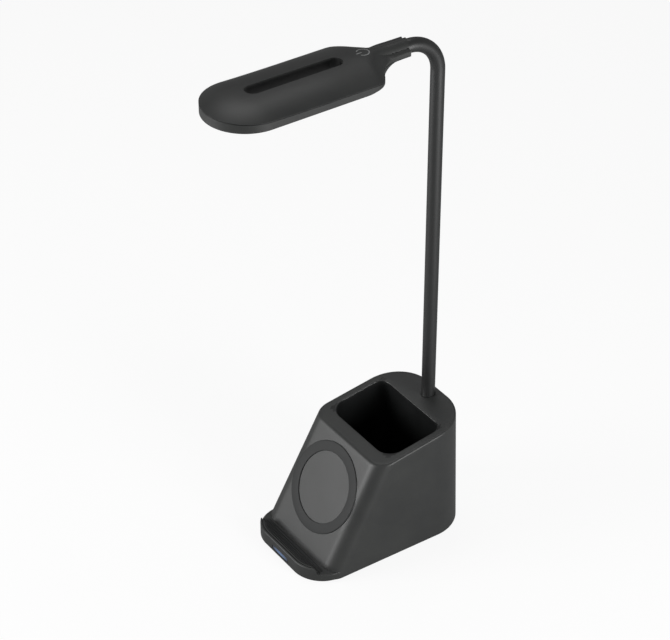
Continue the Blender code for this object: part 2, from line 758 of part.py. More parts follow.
def rear_inlet():
    outline = rectangle(
        USB_BOARD_WIDTH,
        USB_BOARD_LENGTH,
        POST_RADIUS / 2,
        (0, usb_board_front() + USB_BOARD_LENGTH / 2),
    )
    top = USB_BOARD_HEIGHT + BOARD_THICKNESS
    prism("usb_board", outline, USB_BOARD_HEIGHT, top, "board_green")

    def ring(grow, y):
        return [(x, y, z) for x, z in usb_outline(grow)]

    back = usb_mouth() - USB_LENGTH
    inner_back = back + USB_SHELL * 2
    rings = [
        ring(0, back),
        ring(0, usb_mouth()),
        ring(-USB_SHELL, usb_mouth()),
        ring(-USB_SHELL, inner_back),
    ]
    socket = loft("usb_socket", rings, "steel")
    middle = top + GAP + USB_HEIGHT / 2
    tongue_half = USB_WIDTH / 2 - USB_HEIGHT / 2 - USB_SHELL
    tongue = block(
        "helper_tongue",
        (-tongue_half, tongue_half),
        (inner_back - USB_SHELL, usb_mouth() - USB_SETBACK),
        (middle - USB_TONGUE / 2, middle + USB_TONGUE / 2),
    )
    join(socket, tongue)


# Gooseneck
def neck_pivots():
    """The pivots as (y, z), up the straight part and then round the bend."""
    bend_angles = [BEND_STEP * (number + 0.5) for number in range(BEND_PIVOTS)]
    bend = [
        (
            BEND_CENTRE_Y + BEND_CORNER_RADIUS * math.cos(angle),
            BEND_CENTRE_Z + BEND_CORNER_RADIUS * math.sin(angle),
        )
        for angle in bend_angles
    ]
    spacing = (bend[0][1] - FIRST_PIVOT_HEIGHT) / STRAIGHT_PIVOTS
    straight = [(NECK_Y, FIRST_PIVOT_HEIGHT + spacing * n) for n in range(STRAIGHT_PIVOTS)]
    return straight + bend


def ball_arc(centre):
    """The ball end's outer side as (radius, height), from the bore down to the widest point."""
    top = math.acos(NECK_BORE_RADIUS / NECK_RADIUS)
    return [
        (
            NECK_RADIUS * math.cos(top * (1 - i / BALL_STEPS)),
            centre + NECK_RADIUS * math.sin(top * (1 - i / BALL_STEPS)),
        )
        for i in range(BALL_STEPS + 1)
    ]


def cup_arc():
    """The hollow near end as (radius, height), from the rim up to the bore."""
    radius = NECK_RADIUS + GAP
    low = math.acos(NECK_RADIUS / radius)
    high = math.acos(NECK_BORE_RADIUS / radius)
    return [
        (
            radius * math.cos(share_between(low, high, i / BALL_STEPS)),
            radius * math.sin(share_between(low, high, i / BALL_STEPS)),
        )
        for i in range(BALL_STEPS + 1)
    ]


def place_link(piece, pivot, lean):
    piece.location = (0, pivot[0], pivot[1])
    piece.rotation_euler = (lean, 0, 0)


def gooseneck():
    pivots = neck_pivots()
    seat = NECK_POST_FOOT + NECK_SEAT + GAP - FIRST_PIVOT_HEIGHT
    profile = ball_arc(0) + [
        (NECK_RADIUS, seat),
        (STUD_THREAD_RADIUS, seat),
        (STUD_THREAD_RADIUS, seat - STUD_THREAD_LENGTH),
        (NECK_BORE_RADIUS, seat - STUD_THREAD_LENGTH),
    ]
    stud = turned("neck_root_stud", profile, "neck_coating")
    place_link(stud, pivots[0], 0)
    for number, (pivot, nearest) in enumerate(zip(pivots, pivots[1:]), 1):
        length = math.hypot(nearest[0] - pivot[0], nearest[1] - pivot[1])
        lean = math.atan2(pivot[0] - nearest[0], nearest[1] - pivot[1])
        link = turned(f"neck_link_{number:02d}", ball_arc(length) + cup_arc(), "neck_coating")
        place_link(link, pivot, lean)
    end = [(NECK_RADIUS, FERRULE_LENGTH), *cup_arc(), (NECK_BORE_RADIUS, FERRULE_LENGTH)]
    ferrule = turned("head_neck_ferrule", end, "steel")
    place_link(ferrule, pivots[-1], math.pi / 2)
    nut_top = NECK_POST_FOOT - GAP
    corner_radius = NUT_ACROSS_FLATS / 2 / math.cos(math.pi / NUT_SIDES)
    outline = circle(corner_radius, NUT_SIDES, (0, NECK_Y))
    nut = prism("neck_lock_nut", outline, nut_top - NUT_HEIGHT, nut_top, "steel")
    hole = circle(STUD_THREAD_RADIUS + GAP, TURN_STEPS, (0, NECK_Y))
    cut(nut, prism("cut_nut", hole, nut_top - NUT_HEIGHT - OVERRUN, nut_top + OVERRUN))


# Head outlines: each has the same number of points, so that rings can be joined
def shoulder_half(y, inset=0.0):
    """The head's half width behind the straight sides: a smooth step down to the collar."""
    start = NOSE_Y + SHOULDER_START
    share = np.clip((np.asarray(y) - start) / SHOULDER_LENGTH, 0.0, 1.0)
    fall = (1 + np.cos(np.pi * share)) / 2
    return COLLAR_HALF_WIDTH + (HEAD_WIDTH / 2 - COLLAR_HALF_WIDTH) * fall - inset


def behind_sides():
    """Places along the head from the end of its straight sides to the collar's end."""
    start = NOSE_Y + SHOULDER_START
    return [share_between(start, COLLAR_END_Y, i / SHOULDER_STEPS) for i in range(SHOULDER_STEPS)]


def front_points(half_width, front_centre, side_end):
    """Half of an outline round its front end and along a straight side, up to the side's end."""
    nose = arc((0, front_centre), half_width, -math.pi / 2, 0, NOSE_STEPS)
    return nose + [
        (half_width, share_between(front_centre, side_end, i / SIDE_STEPS))
        for i in range(1, SIDE_STEPS)
    ]


def both_sides(right):
    return right + [(-x, y) for x, y in reversed(right[1:-1])]


def head_outline():
    """The head's plan."""
    curve = [(float(shoulder_half(y)), y) for y in behind_sides()]
    end = [(COLLAR_HALF_WIDTH * share, COLLAR_END_Y) for share in END_SHARES]
    front = front_points(HEAD_WIDTH / 2, NOSE_CENTRE_Y, NOSE_Y + SHOULDER_START)
    return both_sides(front + curve + end)


def rear_shares():
    """How far out a round end's points lie, so that lines to them from the head's plan never cross."""
    shares = []
    for number, y in enumerate(behind_sides()):
        fan = 1 - FAN_SHARE * number / SHOULDER_STEPS
        shares.append(float(shoulder_half(y)) / (HEAD_WIDTH / 2) * fan)
    collar = COLLAR_HALF_WIDTH / (HEAD_WIDTH / 2) * (1 - FAN_SHARE)
    return shares + [collar * share for share in END_SHARES]


def hollow_outline(inset):
    """The head's plan drawn in by an inset and cut off where the hollow ends.

    Its points are matched to those of the plan, so that lines between the two never cross.
    """
    end_y = NOSE_Y + CAVITY_END
    places = behind_sides()
    curve = [(float(shoulder_half(y, inset)), y) for y in places if y < end_y]
    shares = rear_shares()[len(curve) :]
    corner = float(shoulder_half(end_y, inset))
    end = [(corner * share / shares[0], end_y) for share in shares]
    front = front_points(HEAD_WIDTH / 2 - inset, NOSE_CENTRE_Y, NOSE_Y + SHOULDER_START)
    return both_sides(front + curve + end)


def round_ended(half_width, front_centre, rear_centre):
    """A stadium with its points matched to those of the head's plan."""
    rear = [
        (half_width * share, rear_centre + half_width * math.sqrt(max(0, 1 - share**2)))
        for share in rear_shares()
    ]
    return both_sides(front_points(half_width, front_centre, rear_centre) + rear)


def slot_outline(grow=0.0):
    front = NOSE_Y + SLOT_FROM_NOSE + SLOT_WIDTH / 2
    rear = NOSE_Y + SLOT_FROM_NOSE + SLOT_LENGTH - SLOT_WIDTH / 2
    return round_ended(SLOT_WIDTH / 2 + grow, front, rear)


def diffuser_outline(grow=0.0):
    radius = HEAD_WIDTH / 2 - DIFFUSER_INSET
    rear = NOSE_Y + DIFFUSER_INSET + DIFFUSER_LENGTH - radius
    return round_ended(radius + grow, NOSE_CENTRE_Y, rear)


def smooth_step(low, high, value):
    share = np.clip((value - low) / (high - low), 0.0, 1.0)
    return share * share * (3 - 2 * share)


def collar_blend(y):
    return smooth_step(NOSE_Y + COLLAR_START, NOSE_Y + COLLAR_FULL, y)


def upper_height(x, y):
    """The head's top surface: a crown over the sides, and a half tube with wings at the collar."""
    x, y = np.asarray(x, float), np.asarray(y, float)
    along_nose = np.hypot(x, y - NOSE_CENTRE_Y) / (HEAD_WIDTH / 2)
    along_side = np.abs(x) / shoulder_half(y)
    out = np.clip(np.where(y < NOSE_CENTRE_Y, along_nose, along_side), 0, 1)
    crown = PARTING + CROWN_EDGE + CROWN_RISE * (1 - out**2)
    tube = NECK_TOP + np.sqrt(np.clip(BULGE_RADIUS**2 - x**2, 0, None))
    collar = np.maximum(NECK_TOP + WING_RISE, tube)
    blend = collar_blend(y)
    return crown * (1 - blend) + collar * blend


def lower_height(x, y):
    """The head's underside: flat, and a half tube with wings at the collar."""
    x, y = np.asarray(x, float), np.asarray(y, float)
    tube = NECK_TOP - np.sqrt(np.clip(BULGE_RADIUS**2 - x**2, 0, None))
    collar = np.minimum(NECK_TOP - WING_DROP, tube)
    blend = collar_blend(y)
    return HEAD_FOOT * (1 - blend) + collar * blend


def surface_rings(outer, inner, height, drop=0.0):
    """Rings from one outline to another on a surface, with both ends."""
    outer, inner = np.array(outer), np.array(inner)
    rings = []
    for share in (0.0, *RING_SHARES, 1.0):
        plan = outer + (inner - outer) * share
        rings.append(np.column_stack([plan, height(plan[:, 0], plan[:, 1]) - drop]))
    return rings


def head_bore():
    """The neck's bore from behind and the narrower way for the wires, as one stepped cutter."""
    stop = COLLAR_END_Y + COLLAR_TO_PIVOT - FERRULE_LENGTH - GAP
    rings = []
    for radius, y in (
        (WIRE_BORE_RADIUS, NOSE_Y + CAVITY_END - OVERRUN),
        (WIRE_BORE_RADIUS, stop),
        (NECK_RADIUS + GAP, stop),
        (NECK_RADIUS + GAP, COLLAR_END_Y + OVERRUN),
    ):
        half_turn = math.pi / TURN_STEPS
        section = arc((0, NECK_TOP), radius, half_turn, 2 * math.pi - half_turn, TURN_STEPS - 1)
        rings.append([(x, y, z) for x, z in section])
    return loft("cut_neck_way", rings)


def head_shells():
    upper_foot = PARTING + GAP / 2
    lower_top = PARTING - GAP / 2
    plan = head_outline()
    slot = slot_outline()
    slot_outside = slot_outline(SLOT_WALL)
    hollow = hollow_outline(UPPER_RIM)
    slot_foot = HEAD_FOOT + DIFFUSER_SINK
    rings = [at(plan, upper_foot)]
    rings += surface_rings(plan, slot, upper_height)
    rings += [at(slot, slot_foot), at(slot_outside, slot_foot)]
    rings += surface_rings(hollow, slot_outside, upper_height, SHELL_THICKNESS)[::-1]
    rings += [at(hollow, upper_foot)]
    upper = hoop("head_upper_shell", rings, "charcoal_abs")

    opening = diffuser_outline()
    inner = hollow_outline(LOWER_WALL)
    rings = [at(plan, lower_top)]
    rings += surface_rings(plan, opening, lower_height)
    shelf_top = HEAD_FOOT + SHELF_THICKNESS
    rings += [at(opening, shelf_top), at(inner, shelf_top), at(inner, lower_top)]
    lower = hoop("head_lower_shell", rings, "charcoal_abs")

    bore = head_bore()
    cut(upper, bore)
    cut(lower, bore)
    for number, side in enumerate((-1, 1), 1):
        place = (side * HEAD_SCREW_X, NOSE_Y + HEAD_SCREW_FROM_NOSE)
        head_top = HEAD_FOOT + HEAD_SCREW_HEAD_HEIGHT + 2 * GAP
        sink = circle(HEAD_SCREW_HEAD_RADIUS + GAP, TURN_STEPS, place)
        cut(lower, prism(f"cut_head_sink_{number}", sink, HEAD_FOOT - OVERRUN, head_top))
        hole = circle(HEAD_SCREW_RADIUS + GAP, TURN_STEPS, place)
        tip = HEAD_FOOT + HEAD_SCREW_HEAD_HEIGHT + HEAD_SCREW_LENGTH + 2 * GAP
        pilot = prism(f"cut_head_pilot_{number}", hole, HEAD_FOOT + HEAD_SCREW_HEAD_HEIGHT, tip)
        cut(lower, pilot)
        cut(upper, pilot)
        screw(
            f"head_screw_{number}",
            place,
            HEAD_FOOT + GAP,
            HEAD_SCREW_HEAD_RADIUS,
            HEAD_SCREW_HEAD_HEIGHT,
            HEAD_SCREW_RADIUS,
            HEAD_SCREW_LENGTH,
        )


def diffuser():
    plate_foot = HEAD_FOOT + DIFFUSER_SINK
    plate_top = plate_foot + DIFFUSER_PLATE
    plate = diffuser_outline(-GAP)
    flange = diffuser_outline(FLANGE_WIDTH)
    seat = diffuser_outline(-FLANGE_SEAT)
    hole = slot_outline(SLOT_WALL + GAP)
    rings = [
        at(plate, plate_foot),
        at(plate, FLANGE_FOOT),
        at(flange, FLANGE_FOOT),
        at(flange, FLANGE_TOP),
        at(seat, FLANGE_TOP),
        at(seat, plate_top),
        at(hole, plate_top),
        at(hole, plate_foot),
    ]
    hoop("head_diffuser", rings, "opal_diffuser")


def led_board():
    foot = FLANGE_TOP + GAP
    top = foot + LED_BOARD_THICKNESS
    outline = diffuser_outline(FLANGE_WIDTH)
    hole = slot_outline(SLOT_WALL + GAP)
    rings = [at(outline, foot), at(outline, top), at(hole, top), at(hole, foot)]
    board = hoop("led_board", rings, "board_white")
    first = NOSE_CENTRE_Y
    last = NOSE_Y + SHOULDER_START
    for side in (-1, 1):
        for number in range(LED_COUNT_A_SIDE):
            y = share_between(first, last, number / (LED_COUNT_A_SIDE - 1))
            x = side * LED_LINE_X
            lamp = block(
                f"helper_led_{side}_{number}",
                (x - LED_SIDE / 2, x + LED_SIDE / 2),
                (y - LED_SIDE / 2, y + LED_SIDE / 2),
                (foot - LED_HEIGHT, foot + LED_BOARD_THICKNESS / 2),
            )
            join(board, lamp)


def touch_electrode():
    y = NOSE_Y + TOUCH_FROM_NOSE - TOUCH_RADIUS
    edge = float(upper_height(TOUCH_RADIUS, y)) - SHELL_THICKNESS - GAP
    outline = circle(TOUCH_RADIUS, TURN_STEPS, (0, y))
    prism("touch_electrode", outline, edge - TOUCH_THICKNESS, edge, "copper")


def hang_head():
    """Parents the head's pieces to an empty on the head's pivot."""
    pivot_y, pivot_z = neck_pivots()[-1]
    pivot = bpy.data.objects.new("head_pivot", None)
    pivot.location = (0, pivot_y, pivot_z)
    bpy.context.scene.collection.objects.link(pivot)
    for piece in bpy.data.objects:
        on_head = piece.name.startswith(("head_", "led_", "touch_")) and piece.type == "MESH"
        if on_head and not piece.hide_render:
            piece.parent = pivot
            piece.matrix_parent_inverse = Matrix.Translation((0, -pivot_y, -pivot_z))


def build():
    for leftover in list(bpy.data.objects):
        bpy.data.objects.remove(leftover)
    base_housing()
    underside()
    charging_parts()
    shelf_strip()
    status_light()
    charger_board()
    rear_inlet()
    gooseneck()
    head_shells()
    diffuser()
    led_board()
    touch_electrode()
    hang_head()


build()
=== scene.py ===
import math

import bmesh
import bpy
import numpy as np
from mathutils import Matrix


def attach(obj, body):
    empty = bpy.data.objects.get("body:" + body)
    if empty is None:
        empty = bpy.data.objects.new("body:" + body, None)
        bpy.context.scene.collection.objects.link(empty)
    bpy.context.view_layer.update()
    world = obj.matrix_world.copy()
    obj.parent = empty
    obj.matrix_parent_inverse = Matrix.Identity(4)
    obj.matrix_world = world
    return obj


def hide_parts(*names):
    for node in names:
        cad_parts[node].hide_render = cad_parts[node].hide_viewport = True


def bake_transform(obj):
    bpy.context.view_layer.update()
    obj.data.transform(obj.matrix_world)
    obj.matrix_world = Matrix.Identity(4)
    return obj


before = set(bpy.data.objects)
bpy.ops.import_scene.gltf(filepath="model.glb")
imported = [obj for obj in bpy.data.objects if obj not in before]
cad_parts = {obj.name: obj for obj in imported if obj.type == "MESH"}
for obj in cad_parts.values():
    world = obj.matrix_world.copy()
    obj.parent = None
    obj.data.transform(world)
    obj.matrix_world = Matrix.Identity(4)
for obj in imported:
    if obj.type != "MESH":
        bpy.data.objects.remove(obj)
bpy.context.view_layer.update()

# Base body
# One injection moulding in ABS: drafted walls, a front face that leans back, and a rim that rises
# to the rear round the cup. The mould's fine spark texture leaves the charcoal plastic satin.
BODY_FRONT_FOOT_HALF = 0.0342
BODY_REAR_FOOT_HALF = 0.0354
BODY_RIM_HALF = 0.0330
BODY_REAR = 0.05525
BODY_REAR_DRAFT = 0.0013
BODY_FRONT_CORNER = 0.0095
BODY_REAR_CORNER = 0.0250
BODY_REAR_CORNER_AT_RIM = 0.0235
HEEL_Y = -0.04295
SHELF_HEIGHT = 0.0054
RECLINE = math.radians(28.5)
RIM_HEIGHT = 0.0671
RIM_SLOPE = math.tan(math.radians(8.0))
RIM_ROUND = 0.0012
LINE_TOP = 0.0789
UNDERSIDE = 0.0008
FOOT_CHAMFER = 0.0004
WALL = 0.0022
CAVITY_TOP = 0.0040
CUP_HALF = 0.0280
CUP_FRONT = -0.00145
CUP_REAR = 0.03555
CUP_FRONT_CORNER = 0.0100
CUP_REAR_CORNER = 0.0065
CUP_DRAFT = 0.0008
CUP_FLOOR = 0.0140
CUP_EDGE_ROUND = 0.0006
CUP_FILLET = 0.0015
NECK_Y = 0.04705
NECK_RADIUS = 0.0039
NECK_WELL_DEPTH = 0.0060
INLET_HALF = 0.0045
INLET_RADIUS = 0.0016
INLET_HEIGHT = 0.0067
INLET_DEPTH = 0.0095
CLEARANCE = 0.0003
BODY_STEPS = (10, 26, 24, 34, 12)
WALL_ROWS = 26
RIM_EDGE_ROWS = 7
RIM_ROWS = 5
CUP_EDGE_ROWS = 5
CUP_WALL_ROWS = 20
CUP_FILLET_ROWS = 6
CUP_FLOOR_ROWS = 3
MERGE_DISTANCE = 2e-6
SLIVER_LENGTH = 1e-6
SHARP_ANGLE = 35.0


def lerp(low, high, share):
    """Low plus a share of the way to high."""
    return low + (high - low) * share


def half_plan(front, rear, half_front, half_rear, front_corner, rear_corner, steps):
    """Right half of a round-cornered plan, as (x, y) from the front's middle to the rear's middle.

    Two corner arcs, and the straight line that touches both: its angle is that of the line between
    their centres less the arc cosine of the radii's difference over the centres' distance. Steps
    count the points of the front, the front corner, the side, the rear corner and the rear.
    """
    near_x, near_y = half_front - front_corner, front + front_corner
    far_x, far_y = half_rear - rear_corner, rear - rear_corner
    reach = math.hypot(far_x - near_x, far_y - near_y)
    side = math.atan2(far_y - near_y, far_x - near_x)
    side -= math.acos((front_corner - rear_corner) / reach)
    edge, corner, straight, rear_turn, back = (
        np.linspace(0, 1, count, endpoint=False) for count in steps
    )
    turn = lerp(-math.pi / 2, side, corner)
    swing = lerp(side, math.pi / 2, rear_turn)
    near_arc = np.column_stack([np.cos(turn), np.sin(turn)]) * front_corner + (near_x, near_y)
    far_arc = np.column_stack([np.cos(swing), np.sin(swing)]) * rear_corner + (far_x, far_y)
    start = np.array([math.cos(side), math.sin(side)]) * front_corner + (near_x, near_y)
    flank = start + (far_arc[0] - start) * straight[:, None]
    lead = np.column_stack([near_x * edge, np.full_like(edge, front)])
    tail = np.column_stack([far_x * (1 - back), np.full_like(back, rear)])
    return np.vstack([lead, near_arc, flank, far_arc, tail, [[0, rear]]])


def body_plan(height, inset):
    """The body's plan at a height: every width runs straight from the foot's to the rim's."""
    climb = height / RIM_HEIGHT
    heel = HEEL_Y + (height - SHELF_HEIGHT) * math.tan(RECLINE)
    return half_plan(
        heel + inset / math.cos(RECLINE),
        BODY_REAR - BODY_REAR_DRAFT * climb - inset,
        lerp(BODY_FRONT_FOOT_HALF, BODY_RIM_HALF, climb) - inset,
        lerp(BODY_REAR_FOOT_HALF, BODY_RIM_HALF, climb) - inset,
        BODY_FRONT_CORNER - inset,
        lerp(BODY_REAR_CORNER, BODY_REAR_CORNER_AT_RIM, climb) - inset,
        BODY_STEPS,
    )


def wall_ring(height, inset):
    """The wall's ring at a height, which may differ by point, on lines from foot to top."""
    low, high = body_plan(0, inset), body_plan(LINE_TOP, inset)
    share = np.broadcast_to(np.asarray(height, float) / LINE_TOP, len(low))
    return np.column_stack([low + (high - low) * share[:, None], share * LINE_TOP])


def rim_ring(drop, inset):
    """Where the wall's lines meet the rim's plane, z = height + slope * y, lowered by a drop."""
    low, high = body_plan(0, inset), body_plan(LINE_TOP, inset)
    lean = (high[:, 1] - low[:, 1]) / LINE_TOP
    return wall_ring((RIM_HEIGHT + RIM_SLOPE * low[:, 1] - drop) / (1 - RIM_SLOPE * lean), inset)


def cup_ring(grow, height):
    """The cup's plan at a height, drawn in by its draft and out by grow."""
    half = CUP_HALF - CUP_DRAFT * (RIM_HEIGHT - height) / (RIM_HEIGHT - CUP_FLOOR) + grow
    side = half - CUP_HALF
    plan = half_plan(
        CUP_FRONT - side,
        CUP_REAR + side,
        half,
        half,
        CUP_FRONT_CORNER + grow,
        CUP_REAR_CORNER + grow,
        BODY_STEPS,
    )
    return np.column_stack([plan, np.full(len(plan), height)])


def on_rim(ring, drop):
    """A ring's plan laid on the rim's plane, lowered by a drop."""
    return np.column_stack([ring[:, :2], RIM_HEIGHT + RIM_SLOPE * ring[:, 1] - drop])


def between(first, last, count):
    """Rings in even steps from the first to the last, without the last."""
    return [lerp(first, last, share) for share in np.linspace(0, 1, count, endpoint=False)]


def quarter(count):
    """Sines and cosines of even steps through a quarter turn."""
    turn = np.linspace(0, math.pi / 2, count)
    return list(zip(np.sin(turn), np.cos(turn)))


def piece(name, grids, mirrored=False, sharp=SHARP_ANGLE):
    """A closed object from grids of points, each a (rows, columns, 3) array; equal points merge.

    Column i of row j joins its neighbours in a quad. A mirrored piece is half a shape, x from 0 up.
    """
    points, faces, count = [], [], 0
    for grid in grids:
        rows, columns = grid.shape[:2]
        number = count + np.arange(rows * columns).reshape(rows, columns)
        points.append(grid.reshape(-1, 3))
        corners = [number[:-1, :-1], number[:-1, 1:], number[1:, 1:], number[1:, :-1]]
        faces.append(np.stack(corners, axis=-1).reshape(-1, 4))
        count += rows * columns
    points, faces = np.vstack(points), np.vstack(faces)
    if mirrored:
        faces = np.vstack([faces, faces[:, ::-1] + count])
        points = np.vstack([points, points * (-1, 1, 1)])
    mesh = bpy.data.meshes.new(name)
    mesh.from_pydata(points, [], faces.tolist())
    work = bmesh.new()
    work.from_mesh(mesh)
    bmesh.ops.remove_doubles(work, verts=work.verts, dist=MERGE_DISTANCE)
    bmesh.ops.dissolve_degenerate(work, edges=work.edges, dist=SLIVER_LENGTH)
    bmesh.ops.recalc_face_normals(work, faces=work.faces)
    work.to_mesh(mesh)
    work.free()
    mesh.shade_smooth()
    mesh.set_sharp_from_angle(angle=math.radians(sharp))
    made = bpy.data.objects.new(name, mesh)
    bpy.context.scene.collection.objects.link(made)
    return made


def carve(made, cutter, sharp=SHARP_ANGLE):
    """Takes the cutter's volume out of a piece and drops the cutter."""
    step = made.modifiers.new("carve", "BOOLEAN")
    step.operation, step.solver, step.object = "DIFFERENCE", "EXACT", cutter
    graph = bpy.context.evaluated_depsgraph_get()
    carved = bpy.data.meshes.new_from_object(made.evaluated_get(graph))
    made.modifiers.clear()
    made.data = carved
    carved.set_sharp_from_angle(angle=math.radians(sharp))
    bpy.data.objects.remove(cutter)


def round_bar(name, outline, ends, along=2):
    """A bar with a closed outline of (a, b) points, between two places on one axis, both capped."""
    outline = np.vstack([outline, outline[:1]])
    middle = np.broadcast_to(outline[:-1].mean(axis=0), outline.shape)
    low, high = ends
    rows = ((middle, low), (outline, low), (outline, high), (middle, high))
    return piece(name, [np.stack([np.insert(flat, along, place, axis=1) for flat, place in rows])])


def circle(radius, centre, count=48):
    """Even steps round a circle, as (a, b) points."""
    turn = np.linspace(0, 2 * math.pi, count, endpoint=False)
    return np.column_stack([centre[0] + radius * np.cos(turn), centre[1] + radius * np.sin(turn)])


def stadium(half, radius, centre, grow, count=12):
    """A round-ended slot's outline: half circles whose centres stand in from its ends."""
    turn = np.linspace(-math.pi / 2, math.pi / 2, count)
    right = np.column_stack([np.cos(turn), np.sin(turn)]) * (radius + grow) + (half - radius, 0)
    return np.vstack([right, -right]) + centre


cup_middle = np.array([0, (CUP_FRONT + CUP_REAR) / 2, 0])
cavity_edge = wall_ring(CAVITY_TOP, WALL)
rows = [cavity_edge * (0, 0, 1) + cup_middle, cavity_edge]
rows += [wall_ring(UNDERSIDE, WALL), wall_ring(UNDERSIDE, FOOT_CHAMFER)]
rows += between(wall_ring(UNDERSIDE + FOOT_CHAMFER, 0), rim_ring(RIM_ROUND, 0), WALL_ROWS)
for s, c in quarter(RIM_EDGE_ROWS)[:-1]:
    rows.append(rim_ring(RIM_ROUND * (1 - s), RIM_ROUND * (1 - c)))
cup_edge = on_rim(cup_ring(CUP_EDGE_ROUND, RIM_HEIGHT), 0)
rows += between(rim_ring(0, RIM_ROUND), cup_edge, RIM_ROWS)
for s, c in quarter(CUP_EDGE_ROWS):
    ring = cup_ring(CUP_EDGE_ROUND * (1 - s), RIM_HEIGHT)
    rows.append(on_rim(ring, CUP_EDGE_ROUND * (1 - c)))
rows += between(rows[-1], cup_ring(0, CUP_FLOOR + CUP_FILLET), CUP_WALL_ROWS)[1:]
for s, c in quarter(CUP_FILLET_ROWS):
    rows.append(cup_ring(-CUP_FILLET * (1 - c), CUP_FLOOR + CUP_FILLET * (1 - s)))
rows += between(rows[-1], rows[-1] * (0, 0, 1) + cup_middle, CUP_FLOOR_ROWS)[1:]
rows.append(rows[-1] * (0, 0, 1) + cup_middle)
body = piece("base_body", [np.stack(rows)], mirrored=True)
neck_foot = RIM_HEIGHT + RIM_SLOPE * NECK_Y
neck_hole = circle(NECK_RADIUS + CLEARANCE, (0, NECK_Y))
neck_ends = (neck_foot - NECK_WELL_DEPTH, neck_foot + NECK_WELL_DEPTH)
carve(body, round_bar("neck_well", neck_hole, neck_ends))
inlet = stadium(INLET_HALF, INLET_RADIUS, (0, INLET_HEIGHT), CLEARANCE)
inlet_ends = (BODY_REAR - INLET_DEPTH, BODY_REAR + INLET_DEPTH)
carve(body, round_bar("inlet_well", inlet, inlet_ends, along=1))
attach(body, "base")
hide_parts("base_housing")


def srgb(code):
    """A colour written as sRGB hex, in linear light."""
    parts = [int(code[i : i + 2], 16) / 255 for i in (1, 3, 5)]
    return (*(c / 12.92 if c <= 0.04045 else ((c + 0.055) / 1.055) ** 2.4 for c in parts), 1.0)


def wire(tree, node, values=None, links=None):
    """Sets a node's sockets: numbers and colours first, then the sockets that feed it."""
    for socket, value in (values or {}).items():
        node.inputs[socket].default_value = value
    for socket, source in (links or {}).items():
        tree.links.new(source, node.inputs[socket])
    return node


def add(tree, kind, values=None, links=None, **settings):
    """Adds one node with its settings, its sockets' values and the sockets that feed it."""
    node = tree.nodes.new(kind)
    for name, value in settings.items():
        setattr(node, name, value)
    return wire(tree, node, values, links)


def new_material(name):
    """A material, its tree, its shader and the object coordinates that its patterns read."""
    material = bpy.data.materials.new(name)
    material.use_nodes = True
    tree = material.node_tree
    place = add(tree, "ShaderNodeTexCoord").outputs["Object"]
    return material, tree, tree.nodes["Principled BSDF"], place


# Flow in the mould leaves clouds of shade about 22 mm long. The grain gives a third of the shade.
CLOUD_LENGTH = 0.022
GRAIN_SHARE = 0.35
TINT_RANGE = (0.36, 0.64)
GLOSS_RANGE = (0.3, 0.7)
GLOSS_SPREAD = 0.05
PLASTIC_IOR = 1.5
SILICONE_IOR = 1.41
TEXTURED_SPECULAR = 0.4


def moulded(name, dark, light, roughness, grain, depth, ior=PLASTIC_IOR):
    """Moulded plastic: a spark-eroded grain as relief, and slow cloudy drift in colour and gloss.

    Grain, cloud and depth are real lengths in metres, and a noise's scale is one over its length.
    """
    material, tree, shader, place = new_material(name)
    cloud = add(
        tree,
        "ShaderNodeTexNoise",
        {"Scale": 1 / CLOUD_LENGTH, "Detail": 3.0, "Roughness": 0.55},
        {"Vector": place},
    )
    fine = add(
        tree,
        "ShaderNodeTexNoise",
        {"Scale": 1 / grain, "Detail": 2.0, "Roughness": 0.6},
        {"Vector": place},
    )
    both = add(
        tree,
        "ShaderNodeMix",
        {"Factor": GRAIN_SHARE},
        {"A": cloud.outputs["Fac"], "B": fine.outputs["Fac"]},
        data_type="FLOAT",
    )
    tint = add(tree, "ShaderNodeValToRGB", links={"Fac": both.outputs["Result"]})
    first, last = tint.color_ramp.elements
    first.position, last.position = TINT_RANGE
    first.color, last.color = srgb(dark), srgb(light)
    gloss = add(
        tree,
        "ShaderNodeMapRange",
        {
            "From Min": GLOSS_RANGE[0],
            "From Max": GLOSS_RANGE[1],
            "To Min": roughness - GLOSS_SPREAD,
            "To Max": roughness + GLOSS_SPREAD,
        },
        {"Value": both.outputs["Result"]},
    )
    relief = add(
        tree,
        "ShaderNodeBump",
        {"Strength": 0.5, "Distance": depth},
        {"Height": fine.outputs["Fac"]},
    )
    wire(
        tree,
        shader,
        {"IOR": ior, "Specular IOR Level": TEXTURED_SPECULAR},
        {
            "Base Color": tint.outputs["Color"],
            "Roughness": gloss.outputs["Result"],
            "Normal": relief.outputs["Normal"],
        },
    )
    return material


# Spark-eroded ABS: the grain is drawn at 0.6 mm, coarser than the real 0.1 mm, so that it just
# shows as a soft tooth that spreads each highlight.
body_abs = moulded(
    "abs_spark_textured_charcoal", "#2e2f2f", "#343534", roughness=0.44, grain=0.0006, depth=0.00002
)
body.data.materials.append(body_abs)

# The mould's core for the cup is polished, so the cup's walls are smooth and glossier. Their
# near-black colour, far darker than the body's, is painted shade for the deep cup.
cup_abs_painted_shade = moulded(
    "abs_polished_charcoal_painted_shade", "#141515", "#191a1a", roughness=0.34, grain=0.0006, depth=0.000005
)
body.data.materials.append(cup_abs_painted_shade)
# Faces inside the cup take the painted shade colour.
face_middles = np.empty(len(body.data.polygons) * 3, dtype=np.float32)
body.data.polygons.foreach_get("center", face_middles)
across, along, up = np.abs(face_middles[0::3]), face_middles[1::3], face_middles[2::3]
past_edge = CUP_EDGE_ROUND / 3
in_cup_painted_shade = (across < CUP_HALF + past_edge) & (along > CUP_FRONT - past_edge)
in_cup_painted_shade &= (along < CUP_REAR + past_edge) & (up > CUP_FLOOR - CUP_EDGE_ROUND)
body.data.polygons.foreach_set("material_index", in_cup_painted_shade.astype(np.int32))
body.data.update()

